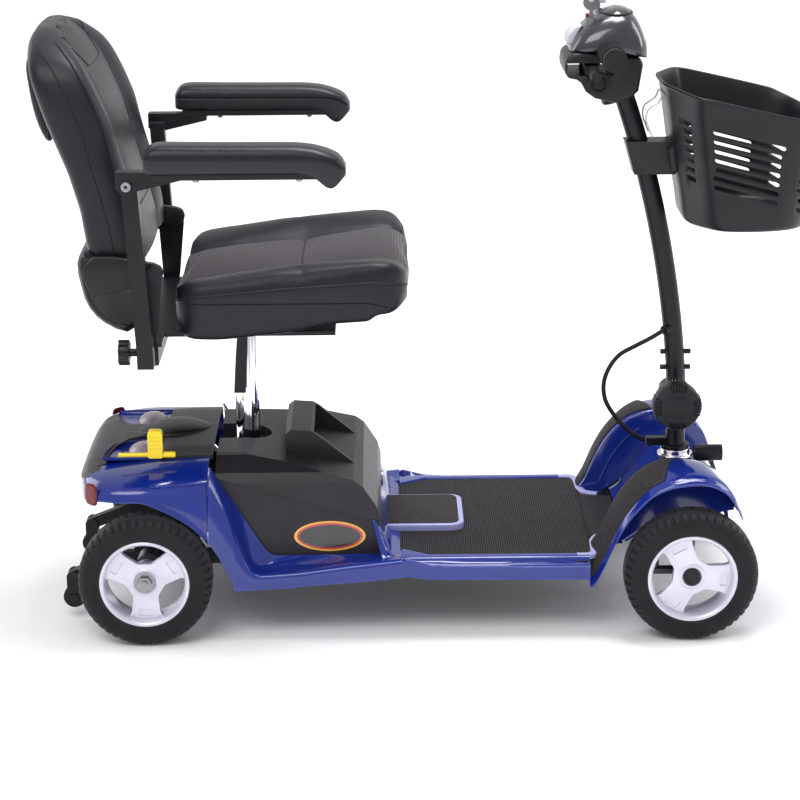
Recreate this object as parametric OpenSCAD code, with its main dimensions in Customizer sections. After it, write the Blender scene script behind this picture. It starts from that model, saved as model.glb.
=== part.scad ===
// Four-wheel travel scooter for one rider, +X forward, +Z up, standing on the ground.
// Every piece is its own module. All lengths are in millimetres.

/* [Wheels] */
// Diameter of the four solid tyres
tyre_d = 200; // [196:1:200]
// Width of a tyre
tyre_w = 60; // [58:1:60]
// Distance between the front and rear axles
wheelbase = 816; // [812:1:820]
// Overall width over the tyres
track_w = 490; // [488:1:494]

/* [Deck] */
// Height of the floor mat above the ground
deck_z = 119; // [119:1:121]
// Width of the floor mat
mat_w = 386; // [370:2:390]
// Width over the side skirts
body_w = 430; // [424:2:436]
// Wall of the moulded covers
skin = 4; // [3:0.5:5]

/* [Seat] */
// Diameter of the seat post
post_d = 38; // [34:1:38]
// Width of the seat cushion
seat_w = 400; // [380:2:404]
// Width of the backrest
back_w = 376; // [360:2:380]
// Distance between the centres of the armrest pads
arm_gap = 540; // [538:1:550]

/* [Tiller] */
// Diameter of the tiller tube
tiller_d = 30; // [28:1:30]
// Diameter of the tilt knob
knob_d = 76; // [70:1:78]
// Distance between the outer ends of the grips
grip_span = 330; // [320:2:360]

/* [Basket] */
// Width of the basket at the rim
basket_w = 310; // [290:2:330]
// Wall of the basket
basket_t = 3; // [2.5:0.5:4]

/* [Hidden] */
$fn = 48;

// Rearmost point of the backrest pouch and foremost point of the basket, from mid wheelbase
rear_x = -568;
front_x = 620;
mid_x = (rear_x + front_x) / 2;
hub_x = wheelbase / 2;
tyre_r = tyre_d / 2;
wheel_y = track_w / 2;
inner_y = wheel_y - tyre_w;
body_y = body_w / 2;
// Kingpins stand upright just inside the front wheels
king_y = inner_y - 15;
// Seat post and its receiver
post_x = -262;
post_r = post_d / 2;
// Pivot of the tiller, on the steering stem
tilt_x = 400;
tilt_z = 318;
// Folding hinge of the backrest
fold_x = -380;
fold_z = 565;
// Centre and radius of the bend of the tiller tube, in the middle plane
bend_c = [-1268, 0, 232];
bend_r = 1678;
// Flip-up hinge of the armrests
flip_x = -409;
flip_z = 704;
pad_y = arm_gap / 2;
running = 0.05;

// Route of the control cable, from the tiller tube to the steering stem
cable_pts = [[383, -19, 424], [362, -28, 414], [338, -30, 402], [314, -30, 388], [298, -30, 366],
    [291, -30, 342], [294, -28, 316], [307, -24, 292], [324, -16, 270], [342, -6, 252], [359, 0, 241]];

// Rear edge, crown and front edge of a front fender: x, height inside, height at the lip
fender_pts = [[258, 100, 84], [266, 118, 92], [280, 140, 120], [297, 180, 160], [317, 212, 194],
    [345, 238, 225], [370, 248, 239], [392, 251, 244], [416, 250, 246], [438, 243, 243],
    [457, 230, 233], [471, 212, 216], [477, 198, 197]];

module shown() translate([-mid_x, 0, 0]) children();

// A flat outline in x and z, made solid from y0 to y1
module side(y0, y1) translate([0, y1, 0]) rotate([90, 0, 0]) linear_extrude(y1 - y0) children();

// The same on both sides of the middle plane
module sides(y0, y1) {
    side(y0, y1) children();
    side(-y1, -y0) children();
}

module plan(z0, z1) translate([0, 0, z0]) linear_extrude(z1 - z0) children();

module block(x0, x1, y0, y1, z0, z1) translate([x0, y0, z0]) cube([x1 - x0, y1 - y0, z1 - z0]);

module both() {
    children();
    mirror([0, 1, 0]) children();
}

module xcyl(y, z, x0, x1, r) translate([x0, y, z]) rotate([0, 90, 0]) cylinder(h = x1 - x0, r = r);

module ycyl(x, z, y0, y1, r) translate([x, y0, z]) rotate([-90, 0, 0]) cylinder(h = y1 - y0, r = r);

module zcyl(x, y, z0, z1, r) translate([x, y, z0]) cylinder(h = z1 - z0, r = r);

// Round rod between two points
module rod(a, b, r) {
    d = b - a;
    translate(a) rotate([0, acos(d.z / norm(d)), atan2(d.y, d.x)]) cylinder(h = norm(d), r = r);
}

// Part of the bent tiller tube, between two angles above the horizontal through its centre
module bent_tube(a0, a1, r) translate(bend_c) rotate([90, 0, 0]) rotate([0, 0, a0])
    rotate_extrude(angle = a1 - a0) translate([bend_r, 0]) circle(r = r);

// Flat strip with round ends between two outline points
module strip(a, b, w) {
    d = b - a;
    translate(a) rotate(atan2(d.y, d.x)) translate([0, -w / 2]) square([norm(d), w]);
    translate(a) circle(r = w / 2);
    translate(b) circle(r = w / 2);
}

// Smooth shell through a row of sections that all have the same number of corners
module loft(s) {
    n = len(s);
    m = len(s[0]);
    walls = [for (i = [0:n - 2], j = [0:m - 1]) each [
        [i * m + j, i * m + (j + 1) % m, (i + 1) * m + (j + 1) % m],
        [i * m + j, (i + 1) * m + (j + 1) % m, (i + 1) * m + j]]];
    first = [for (j = [m - 1:-1:0]) j];
    last = [for (j = [0:m - 1]) (n - 1) * m + j];
    polyhedron(points = [for (a = s) each a], faces = concat([first], walls, [last]));
}

// Tube of eight sides along a route
module swept(p, r) {
    n = len(p);
    dirs = [for (i = [0:n - 1]) let (d = p[min(i + 1, n - 1)] - p[max(i - 1, 0)]) d / norm(d)];
    rings = [for (i = [0:n - 1]) let (
        u = cross(dirs[i], [0, 1, 0]) / norm(cross(dirs[i], [0, 1, 0])),
        v = cross(u, dirs[i]))
        [for (k = [0:7]) p[i] + r * (cos(45 * k) * u + sin(45 * k) * v)]];
    loft(rings);
}

// Points halfway along a smooth curve through a route
function finer(p) = [for (i = [0:len(p) - 2]) each [p[i],
    (9 * (p[i] + p[i + 1]) - p[max(i - 1, 0)] - p[min(i + 2, len(p) - 1)]) / 16], p[len(p) - 1]];

// ---- Wheels ----

// Puts a wheel drawn with its inner face on z = 0 at its place, sgn is -1 on the right
module at_wheel(x, sgn) translate([x, sgn * inner_y, tyre_r]) rotate([sgn * -90, 0, 0]) children();

module tyre_shape() {
    e = tyre_r;
    w = tyre_w;
    color([0.09, 0.09, 0.1]) rotate_extrude($fn = 96) polygon([[67.5, 2], [e - 16, 0], [e - 8, 2.5],
        [e - 2.5, 8], [e - 0.5, 13], [e, 17], [e - 2.5, 17.6], [e - 2.5, 19.8], [e, 20.4],
        [e, w / 2 - 1.6], [e - 2.5, w / 2 - 1], [e - 2.5, w / 2 + 1], [e, w / 2 + 1.6],
        [e, w - 20.4], [e - 2.5, w - 19.8], [e - 2.5, w - 17.6], [e, w - 17], [e - 0.5, w - 13],
        [e - 2.5, w - 8], [e - 8, w - 2.5], [e - 16, w], [67.5, w - 2]]);
}

// Rim with three wide spokes, each with a pocket near its outer end
module rim_shape(turn, bore, depth) {
    color([0.8, 0.79, 0.86]) difference() {
        union() {
            rotate_extrude($fn = 96) polygon([[67.5, 2], [67.5, 58], [65, 59], [61, 57], [58, 52],
                [58, 20], [62, 8], [62, 3], [65, 1]]);
            plan(36, 47) intersection() {
                circle(r = 60, $fn = 96);
                for (k = [0:2]) rotate(turn + 120 * k) translate([0, -22]) square([70, 44]);
            }
            translate([0, 0, 4]) cylinder(h = 44, r = 21);
        }
        translate([0, 0, -1]) cylinder(h = depth + 1, r = bore);
        for (k = [0:2]) rotate(turn + 120 * k) translate([44, -12, 44]) cube([10, 24, 4]);
    }
}

module tyre_rear_right() at_wheel(-hub_x, -1) tyre_shape();

module tyre_rear_left() at_wheel(-hub_x, 1) tyre_shape();

module tyre_front_right() at_wheel(hub_x, -1) tyre_shape();

module tyre_front_left() at_wheel(hub_x, 1) tyre_shape();

module rim_rear_right() at_wheel(-hub_x, -1) rim_shape(30, 8, 60);

module rim_rear_left() at_wheel(-hub_x, 1) rim_shape(30, 8, 60);

// Front rims turn on the stub axles and carry a hub cap
module front_rim(sgn) at_wheel(hub_x, sgn) {
    rim_shape(-5, 8 + running, 44);
    color([0.1, 0.1, 0.1]) translate([0, 0, 48]) cylinder(h = 4, r = 13.5);
}

module rim_front_right() front_rim(-1);

module rim_front_left() front_rim(1);

// Half axle with washer and nut
module half_axle(sgn) color([0.75, 0.75, 0.78]) {
    at_wheel(-hub_x, sgn) {
        translate([0, 0, -inner_y + 8]) cylinder(h = inner_y + 46, r = 8);
        translate([0, 0, 48]) cylinder(h = 2, r = 17);
        translate([0, 0, 50]) cylinder(h = 6, r = 11, $fn = 6);
        translate([0, 0, 56]) cylinder(h = 3, r = 5);
    }
}

module axle_right() half_axle(-1);

module axle_left() half_axle(1);

// ---- Frame and drive ----

module front_frame() color([0.12, 0.12, 0.13]) difference() {
    union() {
        side(-20, 20) polygon([[408, 150], [352, 150], [322, 110], [-58, 110], [-58, 88], [318, 88],
            [350, 128], [408, 128]]);
        plan(128, 150) strip([hub_x, -king_y], [hub_x, king_y], 24);
        zcyl(hub_x, 0, 128, 217, 24);
        block(90, 114, -185, 185, 92, 108);
        both() {
            block(hub_x - 11, hub_x + 11, king_y - 30, king_y - 20, 76, 130);
            plan(74, 81.7) strip([hub_x, king_y - 18], [hub_x, king_y], 24);
            zcyl(hub_x, king_y, 76, 140, 6);
        }
    }
    zcyl(hub_x, 0, 120, 230, 18);
}

module headset() color([0.8, 0.8, 0.82]) difference() {
    union() {
        zcyl(hub_x, 0, 128, 217, 18);
        zcyl(hub_x, 0, 217, 221, 28);
        zcyl(hub_x, 0, 221, 229, 23);
    }
    zcyl(hub_x, 0, 120, 235, 15 + running);
    zcyl(hub_x, 0, 148, 197, 16.5);
}

module rear_frame() color([0.12, 0.12, 0.13]) {
    difference() {
        union() {
            sides(112, 128) {
                translate([-hub_x, tyre_r]) circle(r = 30);
                translate([-hub_x, 90]) square([hub_x - 58, 20]);
            }
            block(-80, -58, -128, 128, 90, 110);
            block(-290, -80, -128, 128, 106, 111);
            block(-295, -229, -112, 112, 90, 110);
            zcyl(post_x, 0, 90, 250, 24);
        }
        ycyl(-hub_x, tyre_r, -140, 140, 20);
        zcyl(post_x, 0, 98, 260, post_r + running);
    }
}

// Gearbox on the axle tube, with the motor above
module transaxle() color([0.45, 0.45, 0.47]) difference() {
    union() {
        ycyl(-hub_x, tyre_r, -165, 165, 20);
        side(20, 58) {
            translate([-hub_x, tyre_r]) circle(r = 46);
            translate([-hub_x, 165]) circle(r = 34);
            translate([-hub_x - 34, tyre_r]) square([68, 65]);
        }
    }
    ycyl(-hub_x, tyre_r, -170, 170, 8 + running);
}

module drive_motor() color([0.16, 0.16, 0.17]) {
    ycyl(-hub_x, 172, -80, 20, 38);
    ycyl(-hub_x, 172, -96, -80, 26);
}

module anti_tip_frame() color([0.1, 0.1, 0.11]) both() difference() {
    union() {
        side(112, 128) {
            translate([-452, 91]) square([27, 18]);
            strip([-452, 100], [-529, 70], 18);
        }
        side(108, 114) strip([-529, 70], [-529, 36], 20);
        side(126, 132) strip([-529, 70], [-529, 36], 20);
    }
    ycyl(-hub_x, tyre_r, 100, 140, 30);
    ycyl(-529, 36, 100, 140, 4 + running);
}

// One roller on each side, each on its own pin
module anti_tip_rollers() color([0.15, 0.15, 0.15]) both() {
    ycyl(-529, 36, 114.3, 125.7, 17);
    ycyl(-529, 36, 105, 135, 4);
    ycyl(-529, 36, 132.3, 135, 7);
    ycyl(-529, 36, 105, 107.7, 7);
}

// ---- Covers ----

// One fender: crown band, lip, and the wall on its inner side
function fender_section(p) = [[p.x, 128, p.y - skin], [p.x, 128, p.y], [p.x, 150, p.y + 2],
    [p.x, 185, (p.y + p.z) / 2 + 3], [p.x, body_y - 12, p.z + 3], [p.x, body_y, p.z - 4],
    [p.x, body_y, p.z - 8], [p.x, body_y - 4, p.z - 8], [p.x, body_y - 15, p.z - 1],
    [p.x, 185, (p.y + p.z) / 2 - 2], [p.x, 150, p.y - 3]];

module front_shroud() color([0.03, 0.07, 0.45]) {
    both() {
        loft([for (p = fender_pts) fender_section(p)]);
        side(124, 128) polygon(concat([for (p = fender_pts) [p.x, p.y]],
            [[470, 168], [440, 158], [380, 158], [345, 142], [300, 110], [262, 92]]));
    }
    difference() {
        side(-124, 124) polygon([[318, 124], [345, 152], [378, 196], [402, 206], [448, 206], [474, 190],
            [478, 150], [474, 150], [470, 188], [446, 202], [402, 202], [380, 192], [349, 150], [326, 124]]);
        zcyl(hub_x, 0, 150, 260, 30);
    }
}

module fender_pads() color([0.2, 0.19, 0.2]) translate([0, 0, 0.5]) both() loft([for (p = [for (i = [1:8]) fender_pts[i]])
    [[p.x, 134, p.y + 1.4], [p.x, 134, p.y + 4.6], [p.x, 150, p.y + 6.5], [p.x, 182, (p.y + p.z) / 2 + 7.8],
        [p.x, 196, (p.y + 2 * p.z) / 3 + 8], [p.x, 196, (p.y + 2 * p.z) / 3 + 4.4],
        [p.x, 182, (p.y + p.z) / 2 + 4.6], [p.x, 150, p.y + 3.2]]]);

module deck_shell() color([0.03, 0.07, 0.45]) {
    difference() {
        plan(84, deck_z) polygon([[-22, -body_y], [-22, body_y], [256, body_y], [256, -body_y]]);
        block(-30, 256, -body_y + skin, body_y - skin, 80, deck_z - 8);
        block(-30, 260, -mat_w / 2, mat_w / 2, deck_z - 4, deck_z + 4);
    }
    block(-50, -22, -body_y + 20, body_y - 20, deck_z - 8, deck_z - 4);
    block(256, 316, -120, 120, deck_z - 8, deck_z - 4);
}

// Ribbed mat with the raised hatch
module floor_mat() color([0.2, 0.19, 0.2]) {
    difference() {
        union() {
            block(-50, 254, -mat_w / 2, mat_w / 2, deck_z - 4, deck_z);
            block(254, 316, -120, 120, deck_z - 4, deck_z);
        }
        for (x = [-40:12:308]) block(x, x + 3, -mat_w / 2 - 1, mat_w / 2 + 1, deck_z - 1, deck_z + 1);
    }
    block(-50, 68, -78, 78, deck_z - 3, deck_z + 12);
}

module rear_outline() polygon([[-506, 210], [-514, 236], [-508, 248], [-470, 256], [-388, 262],
    [-312, 268], [-306, 240], [-228, 116], [-52, 116], [-22, 124], [-22, 104], [-62, 98],
    [-160, 88], [-272, 82], [-300, 100], [-400, 150], [-480, 205]]);

// Rear body cover with wheel arches, open underneath
module rear_shroud() color([0.03, 0.07, 0.45]) difference() {
    union() {
        intersection() {
            side(-body_y, body_y) rear_outline();
            plan(0, 400) polygon([[-514, -90], [-500, -180], [-470, -208], [-440, -body_y],
                [0, -body_y], [0, body_y], [-440, body_y], [-470, 208], [-500, 180], [-514, 90]]);
        }
        // Ears that carry the freewheel lever
        block(-446, -438, -158, -142, 254, 282);
        block(-374, -366, -158, -142, 254, 282);
    }
    intersection() {
        side(-body_y + skin, body_y - skin) polygon([[-520, 150], [-510, 236], [-505, 244], [-470, 252],
            [-388, 258], [-316, 264], [-310, 238], [-232, 112], [-18, 112], [-18, 60], [-520, 60]]);
        plan(0, 400) polygon([[-510, -89], [-496, -178], [-468, -204], [-440, -body_y + skin],
            [0, -body_y + skin], [0, body_y - skin], [-440, body_y - skin], [-468, 204], [-496, 178],
            [-510, 89]]);
    }
    ycyl(-hub_x - 2, 98, -body_y - 1, -150, 124);
    ycyl(-hub_x - 2, 98, 150, body_y + 1, 124);
    xcyl(-150, 273, -450, -360, 5 + running);
    block(-308, -50, -167, 167, 60, 320);
    block(-52, -20, -196, 196, 60, 320);
    block(-490, -300, -125, 125, 240, 300);
}

module rear_deck_cover() color([0.22, 0.21, 0.22]) {
    difference() {
        side(-124.7, 124.7) polygon([[-489, 244], [-488, 259], [-440, 264], [-380, 268], [-309, 271],
            [-309, 258], [-316, 250]]);
        side(-120, 120) polygon([[-484, 238], [-484, 255], [-440, 260], [-380, 264], [-314, 267],
            [-314, 238]]);
    }
    side(-60, 60) polygon([[-440, 264], [-380, 268], [-318, 270.5], [-330, 278], [-400, 280], [-425, 274]]);
}

module battery_side() polygon([[-228, 111], [-57, 111], [-57, 171], [-76, 173], [-288, 235],
    [-304, 238], [-304, 230]]);

// Battery pack, shaped to fill the box and the lid on one side, with play g
module pack_shape(g) side(2 - g, 157 + g) polygon([[-220 - g, 115 - g], [-70 + g, 115 - g],
    [-70 + g, 168], [-90, 218 + g], [-100, 227 + g], [-150, 240 + g], [-220 - g, 248 + g]]);

// Crown of the lid across its width, d inside the outer face
module crown(d) rotate([90, 0, 90]) translate([0, 0, -320]) linear_extrude(300) polygon([[-168 + d, 150],
    [-168 + d, 232 - d / 2], [-160 + d, 246 - d], [-120, 262 - d], [-60, 268 - d], [60, 268 - d],
    [120, 262 - d], [160 - d, 246 - d], [168 - d, 232 - d / 2], [168 - d, 150]]);

module battery_box() color([0.13, 0.13, 0.14]) difference() {
    side(-165, 165) battery_side();
    both() pack_shape(0.3);
    block(-220, -66, -158, 158, 170, 260);
    zcyl(post_x, 0, 100, 300, 37);
    block(-310, post_x, -37, 37, 100, 300);
    xcyl(95, 150, -72, -50, 10);
}

module battery_lid() color([0.25, 0.24, 0.25]) {
    difference() {
        intersection() {
            side(-168, 168) polygon([[-288, 235.5], [-76, 173.5], [-55, 171.5], [-60, 190], [-82, 224],
                [-96, 234], [-150, 248], [-210, 257], [-262, 263], [-304, 263], [-304, 238.5]]);
            crown(0);
        }
        intersection() {
            side(-164, 164) polygon([[-224, 170], [-62, 160], [-62, 172], [-66, 190], [-86, 220],
                [-98, 229], [-150, 243], [-224, 252.5]]);
            crown(4);
        }
        zcyl(post_x, 0, 100, 300, 37);
        block(-310, post_x, -37, 37, 100, 300);
    }
    // Carrying strap on two fins
    difference() {
        side(-80, 80) polygon([[-200, 252], [-201, 281], [-192, 288], [-162, 286], [-152, 280], [-92, 231]]);
        side(-72, 72) polygon([[-210, 240], [-210, 277], [-190, 282], [-168, 280], [-158, 272], [-158, 240]]);
        block(-158, -60, -72, 72, 200, 300);
    }
}

module battery_cells() color([0.3, 0.3, 0.32]) both() intersection() {
    pack_shape(0);
    crown(5);
}

module charger_port() color([0.7, 0.7, 0.72]) difference() {
    union() {
        xcyl(95, 150, -57, -52, 13);
        xcyl(95, 150, -67, -57, 10);
    }
    xcyl(95, 150, -65, -50, 8);
}

module rear_reflectors() color([0.6, 0.02, 0.03]) both() intersection() {
    block(-520, -460, 150, 215, 208, 246);
    plan(200, 250) polygon([[-500.7, 180.7], [-471, 208.4], [-473.4, 211], [-503.2, 183.4]]);
}

module freewheel_lever() color([0.95, 0.75, 0.05]) {
    xcyl(-150, 273, -449, -363, 5);
    difference() {
        block(-404, -382, -157, -143, 270, 312);
        for (z = [286:6:308]) block(-405, -381, -158, -155.5, z, z + 2.5);
    }
}

module headlamp() color([0.05, 0.05, 0.05]) difference() {
    xcyl(0, 219, 438, 482, 13);
    xcyl(0, 219, 478, 490, 10.5);
}

// ---- Steering ----

module steering_stem() color([0.1, 0.1, 0.11]) {
    zcyl(hub_x, 0, 84, 290, 15);
    zcyl(hub_x, 0, 230, 236, 22);
    difference() {
        union() {
            plan(84, 92) strip([hub_x, 0], [hub_x - 50, 0], 20);
            zcyl(hub_x - 50, 0, 84, 118, 4);
        }
    }
    // Yoke with the tilt pivot
    block(388, 424, -28, 28, 282, 296);
    sides(20, 28) {
        translate([tilt_x, tilt_z]) circle(r = 17);
        translate([388, 288]) square([29, 30]);
    }
    ycyl(tilt_x, tilt_z, -66, 28, 6);
    // Socket for the lower end of the cable
    block(362, 396, -7, 7, 234, 246);
}

module knuckle(top) color([0.3, 0.3, 0.32]) difference() {
    union() {
        block(hub_x - 10, hub_x + 10, king_y - 10, king_y + 11, 82, 127.7);
        ycyl(hub_x, tyre_r, king_y, inner_y + 42, 8);
        plan(top - 8, top) strip([hub_x, king_y], [hub_x - 50, king_y], 16);
        zcyl(hub_x - 50, king_y, top - 8, top + 14, 4);
    }
    zcyl(hub_x, king_y, 60, 140, 6 + running);
}

module knuckle_right() mirror([0, 1, 0]) knuckle(92);

module knuckle_left() knuckle(104);

module tie_rod(z) color([0.55, 0.55, 0.57]) difference() {
    union() {
        zcyl(hub_x - 50, 0, z, z + 10, 8);
        zcyl(hub_x - 50, king_y, z, z + 10, 8);
        ycyl(hub_x - 50, z + 5, 0, king_y, 4.5);
    }
    zcyl(hub_x - 50, 0, z - 1, z + 11, 4 + running);
    zcyl(hub_x - 50, king_y, z - 1, z + 11, 4.6);
}

module tie_rod_right() mirror([0, 1, 0]) tie_rod(93);

module tie_rod_left() tie_rod(105);

// ---- Tiller ----

module tiller_tube() color([0.09, 0.09, 0.1]) difference() {
    union() {
        ycyl(tilt_x, tilt_z, -19.7, 19.7, 17);
        rod([407.5, 0, 322], [405.8, 0, 347], tiller_d / 2);
        bent_tube(3.9, 20.2, tiller_d / 2);
        // Height pegs, front and back, and the cable gland
        for (z = [360, 385]) xcyl(0, z, 381, 428, 4);
        rod([396, -8, 425], [383, -19, 424], 7);
    }
    ycyl(tilt_x, tilt_z, -30, 30, 6 + running);
}

module tilt_knob() color([0.08, 0.08, 0.09]) difference() {
    union() {
        ycyl(tilt_x, tilt_z, -84, -50, knob_d / 2 - 4);
        ycyl(tilt_x, tilt_z, -79, -53, knob_d / 2 - 1);
        for (a = [0:10:350]) translate([tilt_x, 0, tilt_z]) rotate([0, a, 0])
            block(knob_d / 2 - 4, knob_d / 2, -78, -54, -1.5, 1.5);
        ycyl(tilt_x, tilt_z, -50, -28.3, 15);
    }
    ycyl(tilt_x, tilt_z, -67, 0, 6 + running);
}

module control_cable() color([0.05, 0.05, 0.05]) swept(finer(finer(cable_pts)), 3.5);

module tiller_head() color([0.1, 0.1, 0.12]) {
    difference() {
        side(-60, 60) polygon([[224, 823], [224, 845], [232, 858], [336, 846], [330, 796], [298, 781],
            [270, 786], [252, 812]]);
        block(232, 292, -70, 70, 823, 842);
        bent_tube(17.5, 20.4, tiller_d / 2 + 0.2);
    }
    zcyl(262, 0, 820, 850, 5);
    both() ycyl(278, 803, 60, 64, 18);
    both() ycyl(278, 803, 64, 67, 9);
    ycyl(286, 860, -grip_span / 2 + 4, grip_span / 2 - 4, 10);
}

module console_cover() color([0.45, 0.45, 0.48]) difference() {
    side(-64, 64) polygon([[232, 858.2], [240, 878], [252, 894], [275, 913], [300, 922], [320, 917],
        [334, 902], [346, 868], [336, 846.2]]);
    ycyl(286, 860, -70, 70, 10);
    zcyl(262, -30, 880, 930, 7 + running);
    zcyl(276, 30, 894, 930, 5 + running);
    zcyl(262, 0, 890, 930, 6 + running);
    zcyl(262, 0, 890, 896, 9);
}

module grips() color([0.07, 0.07, 0.07]) both() difference() {
    union() {
        ycyl(286, 860, 66, grip_span / 2, 17);
        for (i = [0:6]) ycyl(286, 860, 76 + 11 * i, 81 + 11 * i, 18.5);
    }
    ycyl(286, 860, 60, grip_span / 2 - 4, 10);
}

module throttle_lever() color([0.12, 0.12, 0.12]) difference() {
    union() {
        block(252, 272, -62, 62, 826, 838);
        zcyl(262, 0, 824, 841, 14);
        both() side(62, 130) translate([262, 832]) circle(r = 7.5);
    }
    zcyl(262, 0, 820, 850, 5 + running);
}

module speed_dial() color([0.85, 0.85, 0.85]) {
    zcyl(276, 30, 896, 921, 5);
    zcyl(276, 30, 921, 930, 14);
    block(273, 279, 17, 43, 930, 933);
}

module key() color([0.75, 0.72, 0.6]) {
    zcyl(262, -30, 884, 905, 7);
    block(259, 265, -31.5, -28.5, 905, 918);
    difference() {
        translate([262, -31.5, 928]) rotate([-90, 0, 0]) cylinder(h = 3, r = 12);
        ycyl(262, 932, -35, -25, 4);
    }
}

module horn_button() color([0.6, 0.1, 0.1]) {
    zcyl(262, 0, 893.5, 908, 6);
    zcyl(262, 0, 893.5, 895.5, 8.5);
}

module basket_bracket() color([0.08, 0.08, 0.09]) difference() {
    union() {
        side(-22, 22) polygon([[332, 668], [318, 718], [386.1, 718], [393.9, 668]]);
        side(-48, 48) polygon([[380, 708], [386.9, 714], [392.2, 678], [386, 678]]);
    }
    bent_tube(14, 18, tiller_d / 2 + 0.2);
}

module basket_solid(t) intersection() {
    side(-basket_w / 2 + t, basket_w / 2 - t) polygon([[372 + t, 811], [372 + t, 860],
        [front_x - t, 860], [front_x - t, 730], [592 - t, 612], [576 - t, 598 + t],
        [420 + t, 598 + t], [404 + t, 610]]);
    plan(590, 900) polygon([[360 + t, -62], [414 + t, -basket_w / 2 + t], [560, -basket_w / 2 + t],
        [606 - t, -118], [front_x - t, -60], [front_x - t, 60], [606 - t, 118], [560, basket_w / 2 - t],
        [414 + t, basket_w / 2 - t], [360 + t, 62]]);
    rotate([90, 0, 90]) translate([0, 0, 340]) linear_extrude(300) polygon([[-basket_w / 2 + t, 860],
        [basket_w / 2 - t, 860], [basket_w / 2 - t, 790], [basket_w / 2 - 28 - t, 598],
        [-basket_w / 2 + 28 + t, 598], [-basket_w / 2 + t, 790]]);
}

// Open basket with slots in its walls and a sloping rim
module basket() color([0.1, 0.1, 0.1]) difference() {
    basket_solid(0);
    difference() {
        basket_solid(basket_t);
        block(300, 700, -200, 200, 500, 598 + basket_t);
    }
    side(-200, 200) polygon([[340, 815], [380, 811], [560, 769], [640, 733], [660, 900], [340, 900]]);
    for (i = [0:6]) side(-200, 200) translate([432, 752 - 13 * i]) rotate(-9)
        square([72 - 2 * i, 6]);
    for (i = [0:5]) side(-200, 200) translate([524, 737 - 13 * i]) rotate(-9) square([42 - 2 * i, 6]);
    for (i = [0:5], s = [-1, 1]) block(560, 640, s * 34 - 22, s * 34 + 22, 640 + 14 * i, 646 + 14 * i);
}

// ---- Seat ----

module seat_post() color([0.85, 0.85, 0.87]) zcyl(post_x, 0, 102, 461.7, post_r);

module seat_base() color([0.1, 0.1, 0.11]) {
    difference() {
        union() {
            block(-410, -120, -150, 150, 456, 462);
            zcyl(post_x, 0, 424, 462, 27);
            zcyl(post_x, 0, 462, 466, 27);
            block(-410, -378, -200, 200, 426, 456);
            block(-410, -372, -206, 206, 456, 462);
            // Lugs of the seat lever
            block(-290, -279, -44, -24, 436, 456);
            block(-246, -235, -44, -24, 436, 456);
            xcyl(-36, 446, -290, -235, 3);
            both() side(203.5, 209) strip([-390, 468], [fold_x, fold_z], 24);
        }
        zcyl(post_x, 0, 420, 462, post_r + running);
        both() block(-406, -382, 90, 215, 430, 452);
    }
    both() ycyl(fold_x, fold_z, 192, 212, 6);
    both() ycyl(fold_x, fold_z, 209, 213, 11);
}

module seat_cushion() color([0.1, 0.1, 0.11]) intersection() {
    side(-seat_w / 2, seat_w / 2) polygon([[-340, 466.3], [-285, 466.3], [-185, 476], [-127, 488],
        [-34, 494], [-20, 506], [-14, 530], [-16, 562], [-30, 574], [-60, 581], [-200, 567], [-342, 551],
        [-352, 540], [-354, 500], [-350, 476]]);
    plan(400, 700) polygon([[-354, -170], [-340, -192], [-300, -seat_w / 2], [-60, -seat_w / 2],
        [-24, -188], [-14, -150], [-14, 150], [-24, 188], [-60, seat_w / 2], [-300, seat_w / 2],
        [-340, 192], [-354, 170]]);
}

module seat_lever() color([0.08, 0.08, 0.08]) difference() {
    union() {
        side(-40, -32) polygon([[-270, 452], [-256, 452], [-258, 400], [-262, 336], [-280, 336],
            [-276, 395]]);
        xcyl(-36, 446, -278.7, -246.3, 6);
    }
    xcyl(-36, 446, -290, -235, 3 + running);
}

module back_ears() sides(191.5, 202) {
    translate([fold_x, fold_z]) circle(r = 14);
    polygon([[-380, 551], [-380, 579], [-440, 590], [-470, 590], [-484, 560], [-470, 530], [-430, 540]]);
}

// Moulded lower shell, back board and pouch
module backrest_shell() color([0.13, 0.13, 0.14]) {
    difference() {
        union() {
            side(-192, 192) polygon([[-424, 472], [-455, 485], [-476, 507], [-488, 540], [-493, 574],
                [-484, 590], [-466, 590], [-466, 560], [-440, 520], [-418, 486], [-416, 476]]);
            back_ears();
        }
        both() ycyl(fold_x, fold_z, 180, 220, 6 + running);
    }
    side(-104, 104) polygon([[-534.6, 783], [-527, 752], [-538, 738], [-556, 752], [-566, 790],
        [-568, 846], [-560, 862], [-556.5, 862]]);
}

module backrest_cushion() color([0.1, 0.1, 0.11]) intersection() {
    side(-back_w / 2, back_w / 2) polygon([[-396, 566], [-396, 600], [-404, 640], [-425, 722],
        [-444, 786], [-468, 844], [-500, 884], [-528, 902], [-548, 902], [-558, 888], [-556, 862],
        [-534, 783], [-504, 705], [-488, 650], [-484, 590.5], [-465.5, 590.5], [-465.5, 566]]);
    rotate([90, 0, 90]) translate([0, 0, -600]) linear_extrude(300) polygon([[-back_w / 2, 500],
        [back_w / 2, 500], [back_w / 2, 800], [back_w / 2 - 18, 850], [back_w / 2 - 60, 885],
        [90, 902], [-90, 902], [-back_w / 2 + 60, 885], [-back_w / 2 + 18, 850], [-back_w / 2, 800]]);
}

// ---- Armrests ----

module arm_post() color([0.1, 0.1, 0.11]) {
    side(214, 236) polygon([[-420, 712], [-397, 712], [-382.1, 452], [-382.1, 430.1], [-405.9, 430.1],
        [-405.9, 452]]);
    block(-405.9, -382.1, 110, 236, 430.1, 451.9);
    ycyl(flip_x, flip_z, 236, 262, 5);
}

module arm_post_right() mirror([0, 1, 0]) arm_post();

module arm_post_left() arm_post();

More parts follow.
